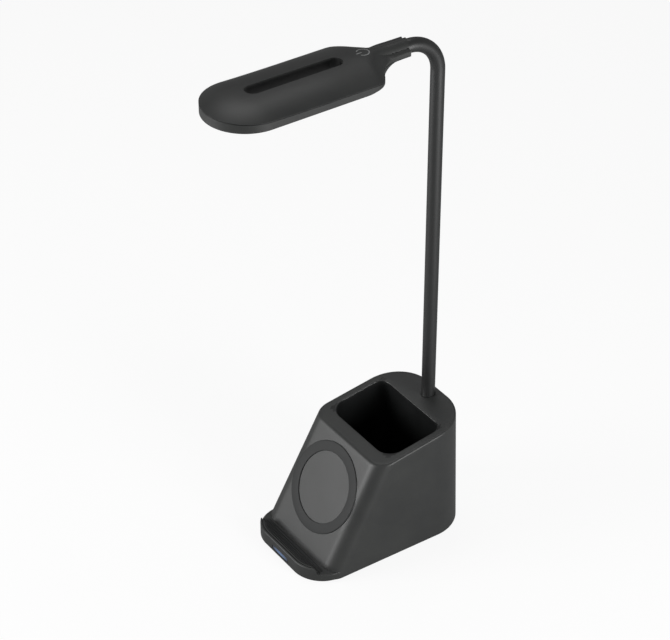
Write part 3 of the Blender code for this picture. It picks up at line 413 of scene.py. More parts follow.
# Foot
# The low front of the same moulding: a block with a shelf, and a lip that wraps the front corners
# and carries two grooves. It is moulded in one with the body, so it shares the body's plastic.
FOOT_FRONT = -0.05525
FOOT_REAR = 0.01475
FOOT_FRONT_HALF = 0.0335
FOOT_REAR_HALF = 0.0337
FOOT_CORNER = 0.0190
LIP_HEIGHT = 0.0092
LIP_THICKNESS = 0.0034
LIP_END = -0.04945
LIP_END_BLEND = 0.0008
LIP_ROUND = 0.0009
LIP_INNER_ROUND = 0.0003
LIP_GROOVES = (0.00095, 0.00240)
GROOVE_WIDTH = 0.00065
GROOVE_DEPTH = 0.00060
GROOVE_PROFILE = ((0, 0), (0.15, 1), (0.85, 1), (1, 0))
SHELF_EDGE_ROUND = 0.0004
SHELF_SHARE = 0.4
WINDOW_HALF = 0.0078
WINDOW_FOOT = 0.0027
WINDOW_TOP = 0.0053
WINDOW_DEPTH = 0.0034
FOOT_STEPS = (24, 72, 8, 8, 6)
FOOT_WALL_SHARES = (0.33, 0.66)
LIP_ROUND_ROWS = 8
LIP_EDGE_ROWS = 5
LIP_FOOT_ROWS = 4


def smooth(share):
    """Three squares less two cubes of a share kept from 0 to 1, which is level at both ends."""
    share = np.clip(share, 0, 1)
    return share * share * (3 - 2 * share)


def foot_plan(inset):
    """The foot's plan, the same at every height, drawn in by an inset."""
    return half_plan(
        FOOT_FRONT + inset,
        FOOT_REAR - inset,
        FOOT_FRONT_HALF - inset,
        FOOT_REAR_HALF - inset,
        FOOT_CORNER - inset,
        FOOT_CORNER - inset,
        FOOT_STEPS,
    )


def foot_row(lip, plain):
    """One row round the foot, from (inset, height) where the lip stands to that where it doesn't.

    The lip's share falls from 1 to 0 by a smooth step in y across the plane where the lip ends.
    """
    flat, level = foot_plan(lip[0]), foot_plan(plain[0])
    share = smooth((LIP_END - flat[:, 1]) / LIP_END_BLEND + 0.5)[:, None]
    with_lip = np.column_stack([flat, np.full(len(flat), lip[1])])
    without = np.column_stack([level, np.full(len(level), plain[1])])
    return with_lip * share + without * (1 - share)


foot_middle = np.array([0, (FOOT_FRONT + FOOT_REAR) / 2, 0])
wall_low = UNDERSIDE + FOOT_CHAMFER
wall_tops = (LIP_HEIGHT - LIP_ROUND, SHELF_HEIGHT - SHELF_EDGE_ROUND)
cavity_edge = foot_row((WALL, CAVITY_TOP), (WALL, CAVITY_TOP))
rows = [cavity_edge * (0, 0, 1) + foot_middle, cavity_edge]
for edge in ((WALL, UNDERSIDE), (FOOT_CHAMFER, UNDERSIDE), (0, wall_low)):
    rows.append(foot_row(edge, edge))
for share in FOOT_WALL_SHARES:
    rows.append(foot_row(*((0, lerp(wall_low, top, share)) for top in wall_tops)))
for s, c in quarter(LIP_ROUND_ROWS):
    lip = (LIP_ROUND * (1 - c), LIP_HEIGHT - LIP_ROUND * (1 - s))
    shelf = (SHELF_EDGE_ROUND * (1 - c), SHELF_HEIGHT - SHELF_EDGE_ROUND * (1 - s))
    rows.append(foot_row(lip, shelf))
for start in LIP_GROOVES:
    for width, drop in GROOVE_PROFILE:
        inset = start + width * GROOVE_WIDTH
        rows.append(foot_row((inset, LIP_HEIGHT - drop * GROOVE_DEPTH), (inset, SHELF_HEIGHT)))
for s, c in quarter(LIP_EDGE_ROWS):
    inset = LIP_THICKNESS - LIP_INNER_ROUND * (1 - s)
    rows.append(foot_row((inset, LIP_HEIGHT - LIP_INNER_ROUND * (1 - c)), (inset, SHELF_HEIGHT)))
for s, c in quarter(LIP_FOOT_ROWS):
    inset = LIP_THICKNESS + LIP_INNER_ROUND * (1 - c)
    rows.append(foot_row((inset, SHELF_HEIGHT + LIP_INNER_ROUND * (1 - s)), (inset, SHELF_HEIGHT)))
rows.append(rows[-1] * (SHELF_SHARE, SHELF_SHARE, 1) + foot_middle * (1 - SHELF_SHARE))
rows.append(rows[-1] * (0, 0, 1) + foot_middle)
foot = piece("base_foot", [np.stack(rows)], mirrored=True)
window = np.array([(-1, WINDOW_FOOT), (1, WINDOW_FOOT), (1, WINDOW_TOP), (-1, WINDOW_TOP)])
window_ends = (FOOT_FRONT - WINDOW_DEPTH, FOOT_FRONT + WINDOW_DEPTH)
carve(foot, round_bar("window_well", window * (WINDOW_HALF, 1), window_ends, along=1))
foot.data.materials.append(body_abs)
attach(foot, "base")
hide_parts("base_housing")

# Charging pad ring
# A moulded silicone ring set in the leaning face, in front of the coil. Its rounded back stands a
# little proud, and its matt rubber grips what leans on it.
PAD_HEIGHT = 0.0385
PAD_OUTER = 0.0265
PAD_INNER = 0.0205
PAD_LOW = -0.0003
PAD_HIGH = 0.0006
PAD_EDGE = 0.0004
PAD_EDGE_ROWS = 5


def on_face(points):
    """Turns points made flat about the origin onto the leaning face, their z out of the face."""
    x, y, z = np.moveaxis(points, -1, 0)
    lean, rise = math.sin(RECLINE), math.cos(RECLINE)
    heel = HEEL_Y + (PAD_HEIGHT - SHELF_HEIGHT) * math.tan(RECLINE)
    return np.stack([x, heel + y * lean - z * rise, PAD_HEIGHT + y * rise + z * lean], axis=-1)


def swept_round(profile, count=128):
    """A closed profile of (radius, height) points turned once about z."""
    turn = np.linspace(0, 2 * math.pi, count + 1)[:, None]
    profile = np.array([*profile, profile[0]])
    radius, height = profile[:, 0], profile[:, 1] + turn * 0
    return np.stack([radius * np.cos(turn), radius * np.sin(turn), height], axis=-1)


pad_edge = [(PAD_EDGE * (1 - c), PAD_HIGH - PAD_EDGE * (1 - s)) for s, c in quarter(PAD_EDGE_ROWS)]
profile = [(PAD_INNER, PAD_LOW)]
profile += [(PAD_INNER + inset, height) for inset, height in pad_edge]
profile += [(PAD_OUTER - inset, height) for inset, height in pad_edge[::-1]]
profile += [(PAD_OUTER, PAD_LOW)]
pad_ring = piece("charging_pad", [on_face(swept_round(profile))])
# Moulded silicone: matt, with a bloom of fine dust that lifts its black towards grey.
silicone = moulded(
    "silicone_moulded_black",
    "#292a2a",
    "#303131",
    roughness=0.62,
    grain=0.0008,
    depth=0.00002,
    ior=SILICONE_IOR,
)
pad_ring.data.materials.append(silicone)
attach(pad_ring, "base")
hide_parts("charging_pad_ring")

# Shelf strip
# A strip of the same silicone glued into the shelf, moulded with low ribs along it that grip what
# stands there.
STRIP_HALF = 0.0280
STRIP_DEPTH = 0.0064
STRIP_Y = -0.0474
STRIP_LOW = 0.0052
STRIP_HIGH = 0.0056
STRIP_CORNER = 0.0016
RIB_PITCH = 0.0016
RIB_HEIGHT = 0.0003
RIB_FADE = 12
STRIP_STEPS = (60, 8, 1, 8, 60)
STRIP_TOP_SHARE = 0.98
STRIP_TOP_ROWS = 40

strip_front, strip_rear = STRIP_Y - STRIP_DEPTH / 2, STRIP_Y + STRIP_DEPTH / 2
outline = half_plan(
    strip_front, strip_rear, STRIP_HALF, STRIP_HALF, STRIP_CORNER, STRIP_CORNER, STRIP_STEPS
)
middle = np.column_stack([outline[:, 0], np.full(len(outline), STRIP_Y)])
rows = []
for plan, height in ((middle, STRIP_LOW), (outline, STRIP_LOW), (outline, STRIP_HIGH)):
    rows.append(np.column_stack([plan, np.full(len(plan), height)]))
# Across the top the height follows half of one less a cosine of the place over the ribs' pitch, and
# fades in from the edge.
for share in np.linspace(STRIP_TOP_SHARE, 0, STRIP_TOP_ROWS):
    plan = lerp(middle, outline, share)
    wave = 0.5 - 0.5 * np.cos(2 * math.pi * (plan[:, 1] - strip_front) / RIB_PITCH)
    rib = RIB_HEIGHT * wave * min(1, (1 - share) * RIB_FADE)
    rows.append(np.column_stack([plan, STRIP_HIGH + rib]))
strip = piece("shelf_grip", [np.stack(rows)], mirrored=True)
strip.data.materials.append(silicone)
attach(strip, "base")
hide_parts("shelf_grip_strip")

# Gooseneck
# A wound steel tube that holds its bend, in an extruded silicone sleeve: straight up from the rim's
# rear, round one even bend, and into the head's collar. It is built as one length per pivot, each
# in place of its links.
NECK_FOOT = 0.0440
NECK_TOP = 0.3026
NECK_FRONT = 0.0205
BEND_RADIUS = 0.0195
PIVOT_HEIGHTS = (0.084, 0.109274, 0.134547, 0.159821, 0.185094, 0.210368, 0.235641, 0.260915)
BEND_PIVOT_SHARES = (0.1, 0.5, 0.9)
NECK_NODES = [
    ["neck_link_01", "neck_root_stud"],
    *[[f"neck_link_{n:02d}"] for n in range(2, 9)],
    ["neck_link_09", "neck_link_10"],
    ["neck_link_11", "neck_link_12"],
    ["head_neck_ferrule"],
]
STRAIGHT_STEP = 0.0030
BEND_STEP = 0.0006
NECK_SIDES = 64
bend_y, bend_z = NECK_Y - BEND_RADIUS, NECK_TOP - BEND_RADIUS
bend_length = BEND_RADIUS * math.pi / 2
bend_from = bend_z - NECK_FOOT
bend_to = bend_from + bend_length


def neck_frame(reach):
    """Points of the neck's line at lengths from its foot, and the directions out of its bend.

    The line is straight up, a quarter turn, and straight ahead. Both results have x = 0.
    """
    reach = np.asarray(reach, float)
    turn = np.clip((reach - bend_from) / bend_length, 0, 1) * math.pi / 2
    rise = np.minimum(reach, bend_from)
    ahead = np.maximum(reach - bend_from - bend_length, 0)
    y = bend_y + BEND_RADIUS * np.cos(turn) - ahead
    z = NECK_FOOT + rise + BEND_RADIUS * np.sin(turn)
    return np.stack([0 * y, y, z], -1), np.stack([0 * y, np.cos(turn), np.sin(turn)], -1)


def neck_length(name, start, end):
    """A closed length of tube: circles square to the neck's line, capped at both ends."""
    stops = [start, *[stop for stop in (bend_from, bend_to) if start < stop < end], end]
    reach = []
    for low, high in zip(stops, stops[1:]):
        step = BEND_STEP if bend_from <= (low + high) / 2 <= bend_to else STRAIGHT_STEP
        count = max(2, math.ceil((high - low) / step))
        reach += list(np.linspace(low, high, count, endpoint=False))
    centre, out = neck_frame([start, *reach, end, end])
    radius = np.array([0, *[NECK_RADIUS] * (len(reach) + 1), 0])[:, None, None]
    turn = np.linspace(0, 2 * math.pi, NECK_SIDES + 1)[None, :, None]
    circles = np.cos(turn) * np.array([1.0, 0, 0]) + np.sin(turn) * out[:, None]
    return piece(name, [centre[:, None] + radius * circles])


# Extruded silicone over wound wire: satin and even, with faint lengthwise drag marks from the die.
DRAG_WIDTH = 0.0007
DRAG_LENGTH = 0.012
DRAG_DEPTH = 0.00001
SLEEVE_GLOSS = (0.38, 0.44)
SLEEVE_SPECULAR = 0.8
sleeve, tree, shader, place = new_material("silicone_extruded_charcoal")
stretch = add(
    tree,
    "ShaderNodeMapping",
    {"Scale": (1 / DRAG_WIDTH, 1 / DRAG_WIDTH, 1 / DRAG_LENGTH)},
    {"Vector": place},
)
drag = add(
    tree,
    "ShaderNodeTexNoise",
    {"Scale": 1.0, "Detail": 3.0},
    {"Vector": stretch.outputs["Vector"]},
)
tint = add(tree, "ShaderNodeValToRGB", links={"Fac": drag.outputs["Fac"]})
first, last = tint.color_ramp.elements
first.color, last.color = srgb("#181919"), srgb("#1c1d1d")
gloss = add(
    tree,
    "ShaderNodeMapRange",
    {"To Min": SLEEVE_GLOSS[0], "To Max": SLEEVE_GLOSS[1]},
    {"Value": drag.outputs["Fac"]},
)
relief = add(
    tree,
    "ShaderNodeBump",
    {"Strength": 0.15, "Distance": DRAG_DEPTH},
    {"Height": drag.outputs["Fac"]},
)
wire(
    tree,
    shader,
    {"Specular IOR Level": SLEEVE_SPECULAR},
    {
        "Base Color": tint.outputs["Color"],
        "Roughness": gloss.outputs["Result"],
        "Normal": relief.outputs["Normal"],
    },
)

pivots = [height - NECK_FOOT for height in PIVOT_HEIGHTS]
pivots += [bend_from + share * bend_length for share in BEND_PIVOT_SHARES]
ends = [lerp(low, high, 0.5) for low, high in zip(pivots, pivots[1:])]
ends = [0, *ends, bend_to + bend_y - NECK_FRONT]
for number, pivot in enumerate(pivots):
    low, high = ends[number : number + 2]
    tube = neck_length(f"neck_sleeve_{number + 1:02d}", low, high)
    tube.data.materials.append(sleeve)
    # The span of a length that lies on both sides of its pivot, and the line's points at its ends,
    # are worked out but not used.
    turn_low, turn_high = max(low, 2 * pivot - high), high
    if number == len(pivots) - 1:
        turn_low, turn_high = low, 2 * pivot - low
    (start, end), _ = neck_frame([turn_high, turn_low])
    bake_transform(tube)
    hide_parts(*NECK_NODES[number])

# Head shells
# Two ABS mouldings that meet at a fine line round the head: a shallow crown over a straight-sided
# tray. Behind, both narrow into a collar that swells into a half tube with wings round the neck.
NOSE_Y = -0.09316
HEAD_HALF = 0.0232
HEAD_FOOT = 0.2977
HEAD_ROUND = 0.0003
HEAD_ROUND_ANGLE = math.radians(40)
PARTING = 0.3015
PARTING_GAP = 0.0003
NOSE_LIFT = 0.0014
NOSE_LIFT_START = -0.0370
CROWN_EDGE = 0.0004
CROWN_TOP = 0.30786
CROWN_POWER = 2.7
CROWN_POWER_BEHIND = 2.0
CROWN_CHANGE = (-0.0350, -0.0050)
SHOULDER_START = 0.0806
SHOULDER_HALFWAY = 0.0145
SHOULDER_POWER = 6.0
COLLAR_HALF = 0.0078
COLLAR_START = 0.0950
COLLAR_FULL = 0.1080
COLLAR_END = 0.1196
COLLAR_SLANT = 0.33
COLLAR_SLANT_START = 0.1040
BULGE_RADIUS = 0.0046
WING_RISE = 0.0015
WING_DROP = 0.0013
TRAY_RISE_START = 0.0950
TRAY_RISE_END = 0.1080
CORNER_RISE = 0.7
CORNER_RISE_X = (0.0125, 0.0210)
CORNER_RISE_START = 0.0800
SLOT_HALF = 0.0045
SLOT_FROM_NOSE = 0.0227
SLOT_LENGTH = 0.0570
SLOT_WALL = 0.0012
SLOT_FOOT = 0.2980
OPENING_HALF = 0.0202
OPENING_LENGTH = 0.0880
SCREW_X = 0.0085
SCREW_FROM_NOSE = 0.0968
SCREW_WELL_RADIUS = 0.0023
SCREW_WELL_TOP = 0.2994
SCREW_WELL_SIDES = 24
NOSE_COUNT, SIDE_COUNT, SHOULDER_COUNT, LINE_COUNT = 48, 40, 26, 30
WING_COUNT, TUBE_COUNT = 6, 24
ACROSS_ROWS = 34
COLLAR_ROWS = 40
HEAD_SHARP_ANGLE = 30.0
nose_centre = NOSE_Y + HEAD_HALF
line_y = NOSE_Y + COLLAR_START
slot_ends = (
    NOSE_Y + SLOT_FROM_NOSE + SLOT_HALF,
    NOSE_Y + SLOT_FROM_NOSE + SLOT_LENGTH - SLOT_HALF,
)
opening_ends = (nose_centre, NOSE_Y + HEAD_HALF - OPENING_HALF + OPENING_LENGTH - OPENING_HALF)


def shoulder_half(y):
    """Half width behind the straight sides: full at first, then quickly in to the collar's.

    The width above the collar's is one part in 1 + (distance / halfway) ** power.
    """
    share = np.clip((y - NOSE_Y - SHOULDER_START) / SHOULDER_HALFWAY, 0, None)
    return COLLAR_HALF + (HEAD_HALF - COLLAR_HALF) / (1 + share**SHOULDER_POWER)


def parting_height(y):
    """The line between the shells: level behind, rising to the nose with the distance squared."""
    share = np.clip((NOSE_LIFT_START - y) / (NOSE_LIFT_START - NOSE_Y), 0, 1)
    return PARTING + NOSE_LIFT * share**2


def parting_face(lift):
    """The heights of a shell's parting face, lifted from the line by half the gap."""
    return lambda x, y: parting_height(y) + lift


def step_between(low, high, value):
    """The smooth step from 0 at low to 1 at high."""
    return smooth((value - low) / (high - low))


def upper_height(x, y):
    """A crown that falls with a power of the way out, and a half tube with wings behind."""
    nose_out = np.hypot(x, y - nose_centre) / HEAD_HALF
    out = np.clip(np.where(y < nose_centre, nose_out, np.abs(x) / shoulder_half(y)), 0, 1)
    edge = parting_height(y) + CROWN_EDGE
    power = lerp(CROWN_POWER, CROWN_POWER_BEHIND, step_between(*CROWN_CHANGE, y))
    crown = edge + (CROWN_TOP - edge) * (1 - out**power)
    tube = NECK_TOP + np.sqrt(np.clip(BULGE_RADIUS**2 - x**2, 0, None))
    blend = step_between(line_y, NOSE_Y + COLLAR_FULL, y)
    return crown * (1 - blend) + np.maximum(NECK_TOP + WING_RISE, tube) * blend


def lower_height(x, y):
    """Flat under the head, lifting at the rear corners, and a half tube with wings behind."""
    tube = NECK_TOP - np.sqrt(np.clip(BULGE_RADIUS**2 - x**2, 0, None))
    rise_start = NOSE_Y + TRAY_RISE_START
    blend = step_between(rise_start, NOSE_Y + TRAY_RISE_END, y)
    lift = CORNER_RISE * step_between(*CORNER_RISE_X, np.abs(x))
    blend = np.maximum(blend, lift * step_between(NOSE_Y + CORNER_RISE_START, rise_start, y))
    return HEAD_FOOT * (1 - blend) + np.minimum(NECK_TOP - WING_DROP, tube) * blend


def at_height(plan, height):
    """A plan's points at one height, or at the heights that a function of x and y gives."""
    if callable(height):
        z = height(plan[..., 0], plan[..., 1])
    else:
        z = np.full(plan.shape[:-1], height)
    return np.concatenate([plan, z[..., None]], axis=-1)


def wall_between(plan, *heights):
    """A wall over one line of a plan, through the heights in turn."""
    return np.stack([at_height(plan, height) for height in heights])


def collar_columns(wing):
    """Places across the collar, from its side to its middle, close together at the tube's foot."""
    crease = math.sqrt(BULGE_RADIUS**2 - wing**2)
    flat = np.linspace(COLLAR_HALF, crease, WING_COUNT, endpoint=False)
    return np.concatenate([flat, crease * np.sin(np.linspace(math.pi / 2, 0, TUBE_COUNT))])


def rear_columns(columns, y):
    """Places across the head at one y: even steps in to the collar's width, then the collar's."""
    out = np.linspace(shoulder_half(y), columns[0], LINE_COUNT, endpoint=False)
    return np.concatenate([out, columns])


def nose_and_side(half, front_centre, rear_centre):
    """A quarter circle from the nose's middle out to the side, and the straight side behind it."""
    turn = np.linspace(-math.pi / 2, 0, NOSE_COUNT, endpoint=False)
    nose = np.column_stack([half * np.cos(turn), front_centre + half * np.sin(turn)])
    side_y = np.linspace(front_centre, rear_centre, SIDE_COUNT, endpoint=False)
    return np.vstack([nose, np.column_stack([np.full(SIDE_COUNT, half), side_y])])


def front_outer(columns):
    """Plan of the head in front of the collar: nose, side, shoulder, then straight across."""
    curve_y = np.linspace(NOSE_Y + SHOULDER_START, line_y, SHOULDER_COUNT, endpoint=False)
    curve = np.column_stack([shoulder_half(curve_y), curve_y])
    across = rear_columns(columns, line_y)
    line = np.column_stack([across, np.full(len(across), line_y)])
    return np.vstack([nose_and_side(HEAD_HALF, nose_centre, NOSE_Y + SHOULDER_START), curve, line])


def front_inner(half, ends, count):
    """A round-ended outline with its points matched to those of the plan outside it."""
    swing = np.linspace(0, math.pi / 2, count)
    rear = np.column_stack([half * np.cos(swing), ends[1] + half * np.sin(swing)])
    return np.vstack([nose_and_side(half, *ends), rear])


def shell(name, surface, wing, level, inner_half, inner_ends, depth=None):
    """One shell of the head as a closed half, mirrored: surface, walls and parting face.

    The front runs in even shares from the plan to a round-ended opening, the rear in rows of one y.
    Walls run from the surface's edge and the opening's edge to the parting face, or with a depth
    down a tube that hangs from the opening to that depth.
    """
    columns = collar_columns(wing)
    inner_count = SHOULDER_COUNT + LINE_COUNT + len(columns)
    outer = front_outer(columns)
    inner = front_inner(inner_half, inner_ends, inner_count)
    share = np.linspace(0, 1, ACROSS_ROWS)[:, None, None]
    front = lerp(outer, inner, share)
    rear = []
    for y in np.linspace(line_y, NOSE_Y + COLLAR_END, COLLAR_ROWS):
        across = rear_columns(columns, y)
        rear.append(np.column_stack([across, np.full(len(across), y)]))
    rear = np.stack(rear)
    round_front = outer[: NOSE_COUNT + SIDE_COUNT + SHOULDER_COUNT]
    edge = np.vstack([round_front, rear[:, 0], rear[-1][1:]])
    grids = [at_height(front, surface), at_height(rear, surface)]
    grids += [wall_between(edge, surface, level)]
    if depth is None:
        grids += [wall_between(inner, surface, level)]
        grids += [at_height(front, level), at_height(rear, level)]
        return piece(name, grids, mirrored=True, sharp=HEAD_SHARP_ANGLE)
    tube = front_inner(inner_half + SLOT_WALL, inner_ends, inner_count)
    walls = [wall_between(inner, surface, depth), wall_between(tube, depth, level)]
    grids += [np.concatenate(walls)]
    grids += [at_height(lerp(outer, tube, share), level), at_height(rear, level)]
    return piece(name, grids, mirrored=True, sharp=HEAD_SHARP_ANGLE)


def slanted(grid):
    """Cuts the collar's end aslant: points past its start shift along y by their x and a share."""
    share = step_between(NOSE_Y + COLLAR_SLANT_START, NOSE_Y + COLLAR_END, grid[..., 1])
    return grid - np.stack([0 * share, COLLAR_SLANT * grid[..., 0] * share, 0 * share], axis=-1)


upper = shell(
    "head_crown",
    upper_height,
    WING_RISE,
    parting_face(PARTING_GAP / 2),
    SLOT_HALF,
    slot_ends,
    SLOT_FOOT,
)
lower = shell(
    "head_tray",
    lower_height,
    WING_DROP,
    parting_face(-PARTING_GAP / 2),
    OPENING_HALF,
    opening_ends,
)
for made in (upper, lower):
    points = np.empty(len(made.data.vertices) * 3, dtype=np.float32)
    made.data.vertices.foreach_get("co", points)
    moved = slanted(points.reshape(-1, 3)).astype(np.float32)
    made.data.vertices.foreach_set("co", moved.ravel())
    made.data.update()
for side in (-1, 1):
    place = (side * SCREW_X, NOSE_Y + SCREW_FROM_NOSE)
    hole = circle(SCREW_WELL_RADIUS, place, SCREW_WELL_SIDES)
    well = round_bar("screw_well", hole, (HEAD_FOOT - SCREW_WELL_RADIUS, SCREW_WELL_TOP))
    carve(lower, well, sharp=HEAD_SHARP_ANGLE)
# Fine-textured ABS: a little smoother than the base, so the crown shows a soft broad sheen.
head_abs = moulded(
    "abs_fine_textured_charcoal", "#2e2f2f", "#343534", roughness=0.42, grain=0.0005, depth=0.000015
)
for made, node in ((upper, "head_upper_shell"), (lower, "head_lower_shell")):
    soften = made.modifiers.new("soften", "BEVEL")
    soften.width, soften.segments = HEAD_ROUND, 2
    soften.limit_method, soften.angle_limit = "ANGLE", HEAD_ROUND_ANGLE
    soften.use_clamp_overlap = True
    soften.harden_normals = True
    made.data.materials.append(head_abs)
    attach(made, "head")
    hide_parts(node)

# Touch mark
# A power symbol over the touch sensor: a broken ring and a short bar, pad-printed on the crown in
# light grey ink.
MARK_Y = -0.0005
MARK_RADIUS = 0.0032
MARK_STROKE = 0.00055
MARK_THICKNESS = 0.00003
MARK_OPENING = math.radians(38)
BAR_LENGTH = 0.0032
BAR_INSIDE = 0.75
RING_STEPS, BAR_STEPS = 49, 9
RING_ACROSS, BAR_ACROSS = 4, 3
INK_BLOT = 0.0006


def printed(name, edges, count):
    """A thin layer on the crown, of (x, y) places between two edges, raised and closed round."""
    plan = lerp(edges[0], edges[1], np.linspace(0, 1, count)[:, None, None])
    top = at_height(plan, lambda x, y: upper_height(x, y) + MARK_THICKNESS)
    low = at_height(plan, lambda x, y: upper_height(x, y) - MARK_THICKNESS)
    ends = [np.stack([top[:, i], low[:, i]]) for i in (0, -1)]
    sides = [np.stack([top[i], low[i]]) for i in (0, -1)]
    return piece(name, [top, low, *ends, *sides])


turn = np.linspace(MARK_OPENING - math.pi / 2, 3 * math.pi / 2 - MARK_OPENING, RING_STEPS)
rim_line = np.column_stack([np.cos(turn), np.sin(turn)])
half_stroke = MARK_STROKE / 2
ring_edges = [rim_line * (MARK_RADIUS + out) + (0, MARK_Y) for out in (-half_stroke, half_stroke)]
ring = printed("touch_mark_ring", ring_edges, RING_ACROSS)
bar_from = MARK_RADIUS - BAR_LENGTH * BAR_INSIDE
bar_to = MARK_RADIUS + BAR_LENGTH * (1 - BAR_INSIDE)
bar_line = np.column_stack([np.zeros(BAR_STEPS), -np.linspace(bar_from, bar_to, BAR_STEPS)])
bar_edges = [bar_line + (out, MARK_Y) for out in (-half_stroke, half_stroke)]
bar = printed("touch_mark_bar", bar_edges, BAR_ACROSS)
# Pad-printed ink: a thin, slightly uneven light grey film.
ink, tree, shader, place = new_material("ink_pad_printed_grey")
blot = add(tree, "ShaderNodeTexNoise", {"Scale": 1 / INK_BLOT, "Detail": 2.0}, {"Vector": place})
tint = add(tree, "ShaderNodeValToRGB", links={"Fac": blot.outputs["Fac"]})
first, last = tint.color_ramp.elements
first.color, last.color = srgb("#8e8f8f"), srgb("#a6a7a7")
wire(tree, shader, {"Roughness": 0.5}, {"Base Color": tint.outputs["Color"]})
for made in (ring, bar):
    made.data.materials.append(ink)
    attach(made, "head")

# Diffuser
# A plate of opal acrylic that snaps into the tray from below and spreads the light of the two rows
# of lamps on the board above it.
DIFFUSER_LOW = 0.2980
DIFFUSER_HIGH = 0.2992
DIFFUSER_END_COUNT = 48
DIFFUSER_ROWS = 12
SANDING_GRAIN = 0.0005
SANDING_DEPTH = 0.00001
ACRYLIC_IOR = 1.49
OPAL_DEPTH = 0.002
outer = front_inner(OPENING_HALF - CLEARANCE, opening_ends, DIFFUSER_END_COUNT)
inner = front_inner(SLOT_HALF + SLOT_WALL + CLEARANCE, slot_ends, DIFFUSER_END_COUNT)
across = lerp(outer, inner, np.linspace(0, 1, DIFFUSER_ROWS)[:, None, None])
grids = [at_height(across, DIFFUSER_LOW), at_height(across, DIFFUSER_HIGH)]
grids += [wall_between(line, DIFFUSER_LOW, DIFFUSER_HIGH) for line in (outer, inner)]
plate = piece("head_diffuser_plate", grids, mirrored=True)
# Opal acrylic: milky through its depth, with a satin underside of fine sanded grain.
opal, tree, shader, place = new_material("acrylic_opal_satin")
sanding = add(
    tree, "ShaderNodeTexNoise", {"Scale": 1 / SANDING_GRAIN, "Detail": 2.0}, {"Vector": place}
)
tint = add(tree, "ShaderNodeValToRGB", links={"Fac": sanding.outputs["Fac"]})
first, last = tint.color_ramp.elements
first.color, last.color = srgb("#e9eae6"), srgb("#f4f4f1")
relief = add(
    tree,
    "ShaderNodeBump",
    {"Strength": 0.3, "Distance": SANDING_DEPTH},
    {"Height": sanding.outputs["Fac"]},
)
wire(
    tree,
    shader,
    {
        "Roughness": 0.4,
        "IOR": ACRYLIC_IOR,
        "Subsurface Weight": 0.3,
        "Subsurface Scale": OPAL_DEPTH,
    },
    {"Base Color": tint.outputs["Color"], "Normal": relief.outputs["Normal"]},
)
plate.data.materials.append(opal)
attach(plate, "head")
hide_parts("head_diffuser")

# Carried pieces
# Screws, boards, coil and ballast keep their CAD shapes. They are stamped, wound, sawn or etched
# parts behind the covers, and each has the finish of its own process.
COVER_SCREWS = [f"cover_screw_{n}" for n in range(1, 5)]
STREAK_RATIO = 0.15
METAL_GLOSS_SPREAD = 0.08


def dress(material, *names):
    """Gives CAD nodes one material."""
    for name in names:
        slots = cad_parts[name].data.materials
        slots.clear()
        slots.append(material)


def metal(name, dark, light, roughness, streak):
    """Bare metal: streaks of a real width along x, left by its making, in colour and gloss."""
    material, tree, shader, place = new_material(name)
    stretch = add(
        tree,
        "ShaderNodeMapping",
        {"Scale": (STREAK_RATIO / streak, 1 / streak, 1 / streak)},
        {"Vector": place},
    )
    lines = add(
        tree,
        "ShaderNodeTexNoise",
        {"Scale": 1.0, "Detail": 3.0},
        {"Vector": stretch.outputs["Vector"]},
    )
    tint = add(tree, "ShaderNodeValToRGB", links={"Fac": lines.outputs["Fac"]})
    first, last = tint.color_ramp.elements
    first.color, last.color = srgb(dark), srgb(light)
    gloss = add(
        tree,
        "ShaderNodeMapRange",
        {"To Min": roughness - METAL_GLOSS_SPREAD, "To Max": roughness + METAL_GLOSS_SPREAD},
        {"Value": lines.outputs["Fac"]},
    )
    wire(
        tree,
        shader,
        {"Metallic": 1.0},
        {"Base Color": tint.outputs["Color"], "Roughness": gloss.outputs["Result"]},
    )
    return material


# Cold-headed and nickel-plated steel: bright, with fine turning streaks.
plated = metal("steel_nickel_plated", "#b4b3b0", "#d0cfcc", roughness=0.30, streak=0.0004)
dress(plated, "usb_socket", "neck_lock_nut", *COVER_SCREWS, "head_screw_1", "head_screw_2")
# Sawn mild steel plate: dull grey, with coarse saw streaks.
sawn = metal("steel_sawn_plate", "#777572", "#918f8b", roughness=0.52, streak=0.0009)
dress(sawn, "ballast_plate")
# Enamelled copper wire and foil: warm and even.
copper = metal("copper_enamelled", "#b06a3c", "#cf8450", roughness=0.34, streak=0.0005)
dress(copper, "charging_coil", "touch_electrode")
# Sintered ferrite: matt near-black, with a sugary grain.
ferrite = moulded(
    "ferrite_sintered", "#2e2e31", "#38383a", roughness=0.70, grain=0.0005, depth=0.00002
)
dress(ferrite, "coil_ferrite_sheet")
# Glass-epoxy laminate under green solder resist: glossy, with the weave's drift in shade.
laminate = moulded(
    "laminate_green_resist", "#1f5a38", "#2a6b45", roughness=0.38, grain=0.0012, depth=0.00001
)
dress(laminate, "charger_board", "usb_board")
# White solder resist on an aluminium core: bright and satin.
resist = moulded(
    "resist_white_on_aluminium", "#e2e2de", "#ececea", roughness=0.45, grain=0.0010, depth=0.00001
)
dress(resist, "led_board")
# The cover is spark-eroded ABS too, a little lighter and matter than the base that it closes.
cover_abs = moulded(
    "abs_spark_textured_black", "#323233", "#39393a", roughness=0.50, grain=0.0006, depth=0.00002
)
dress(cover_abs, "bottom_cover")
# The foot pad is the charging pad's silicone.
dress(silicone, "foot_pad")

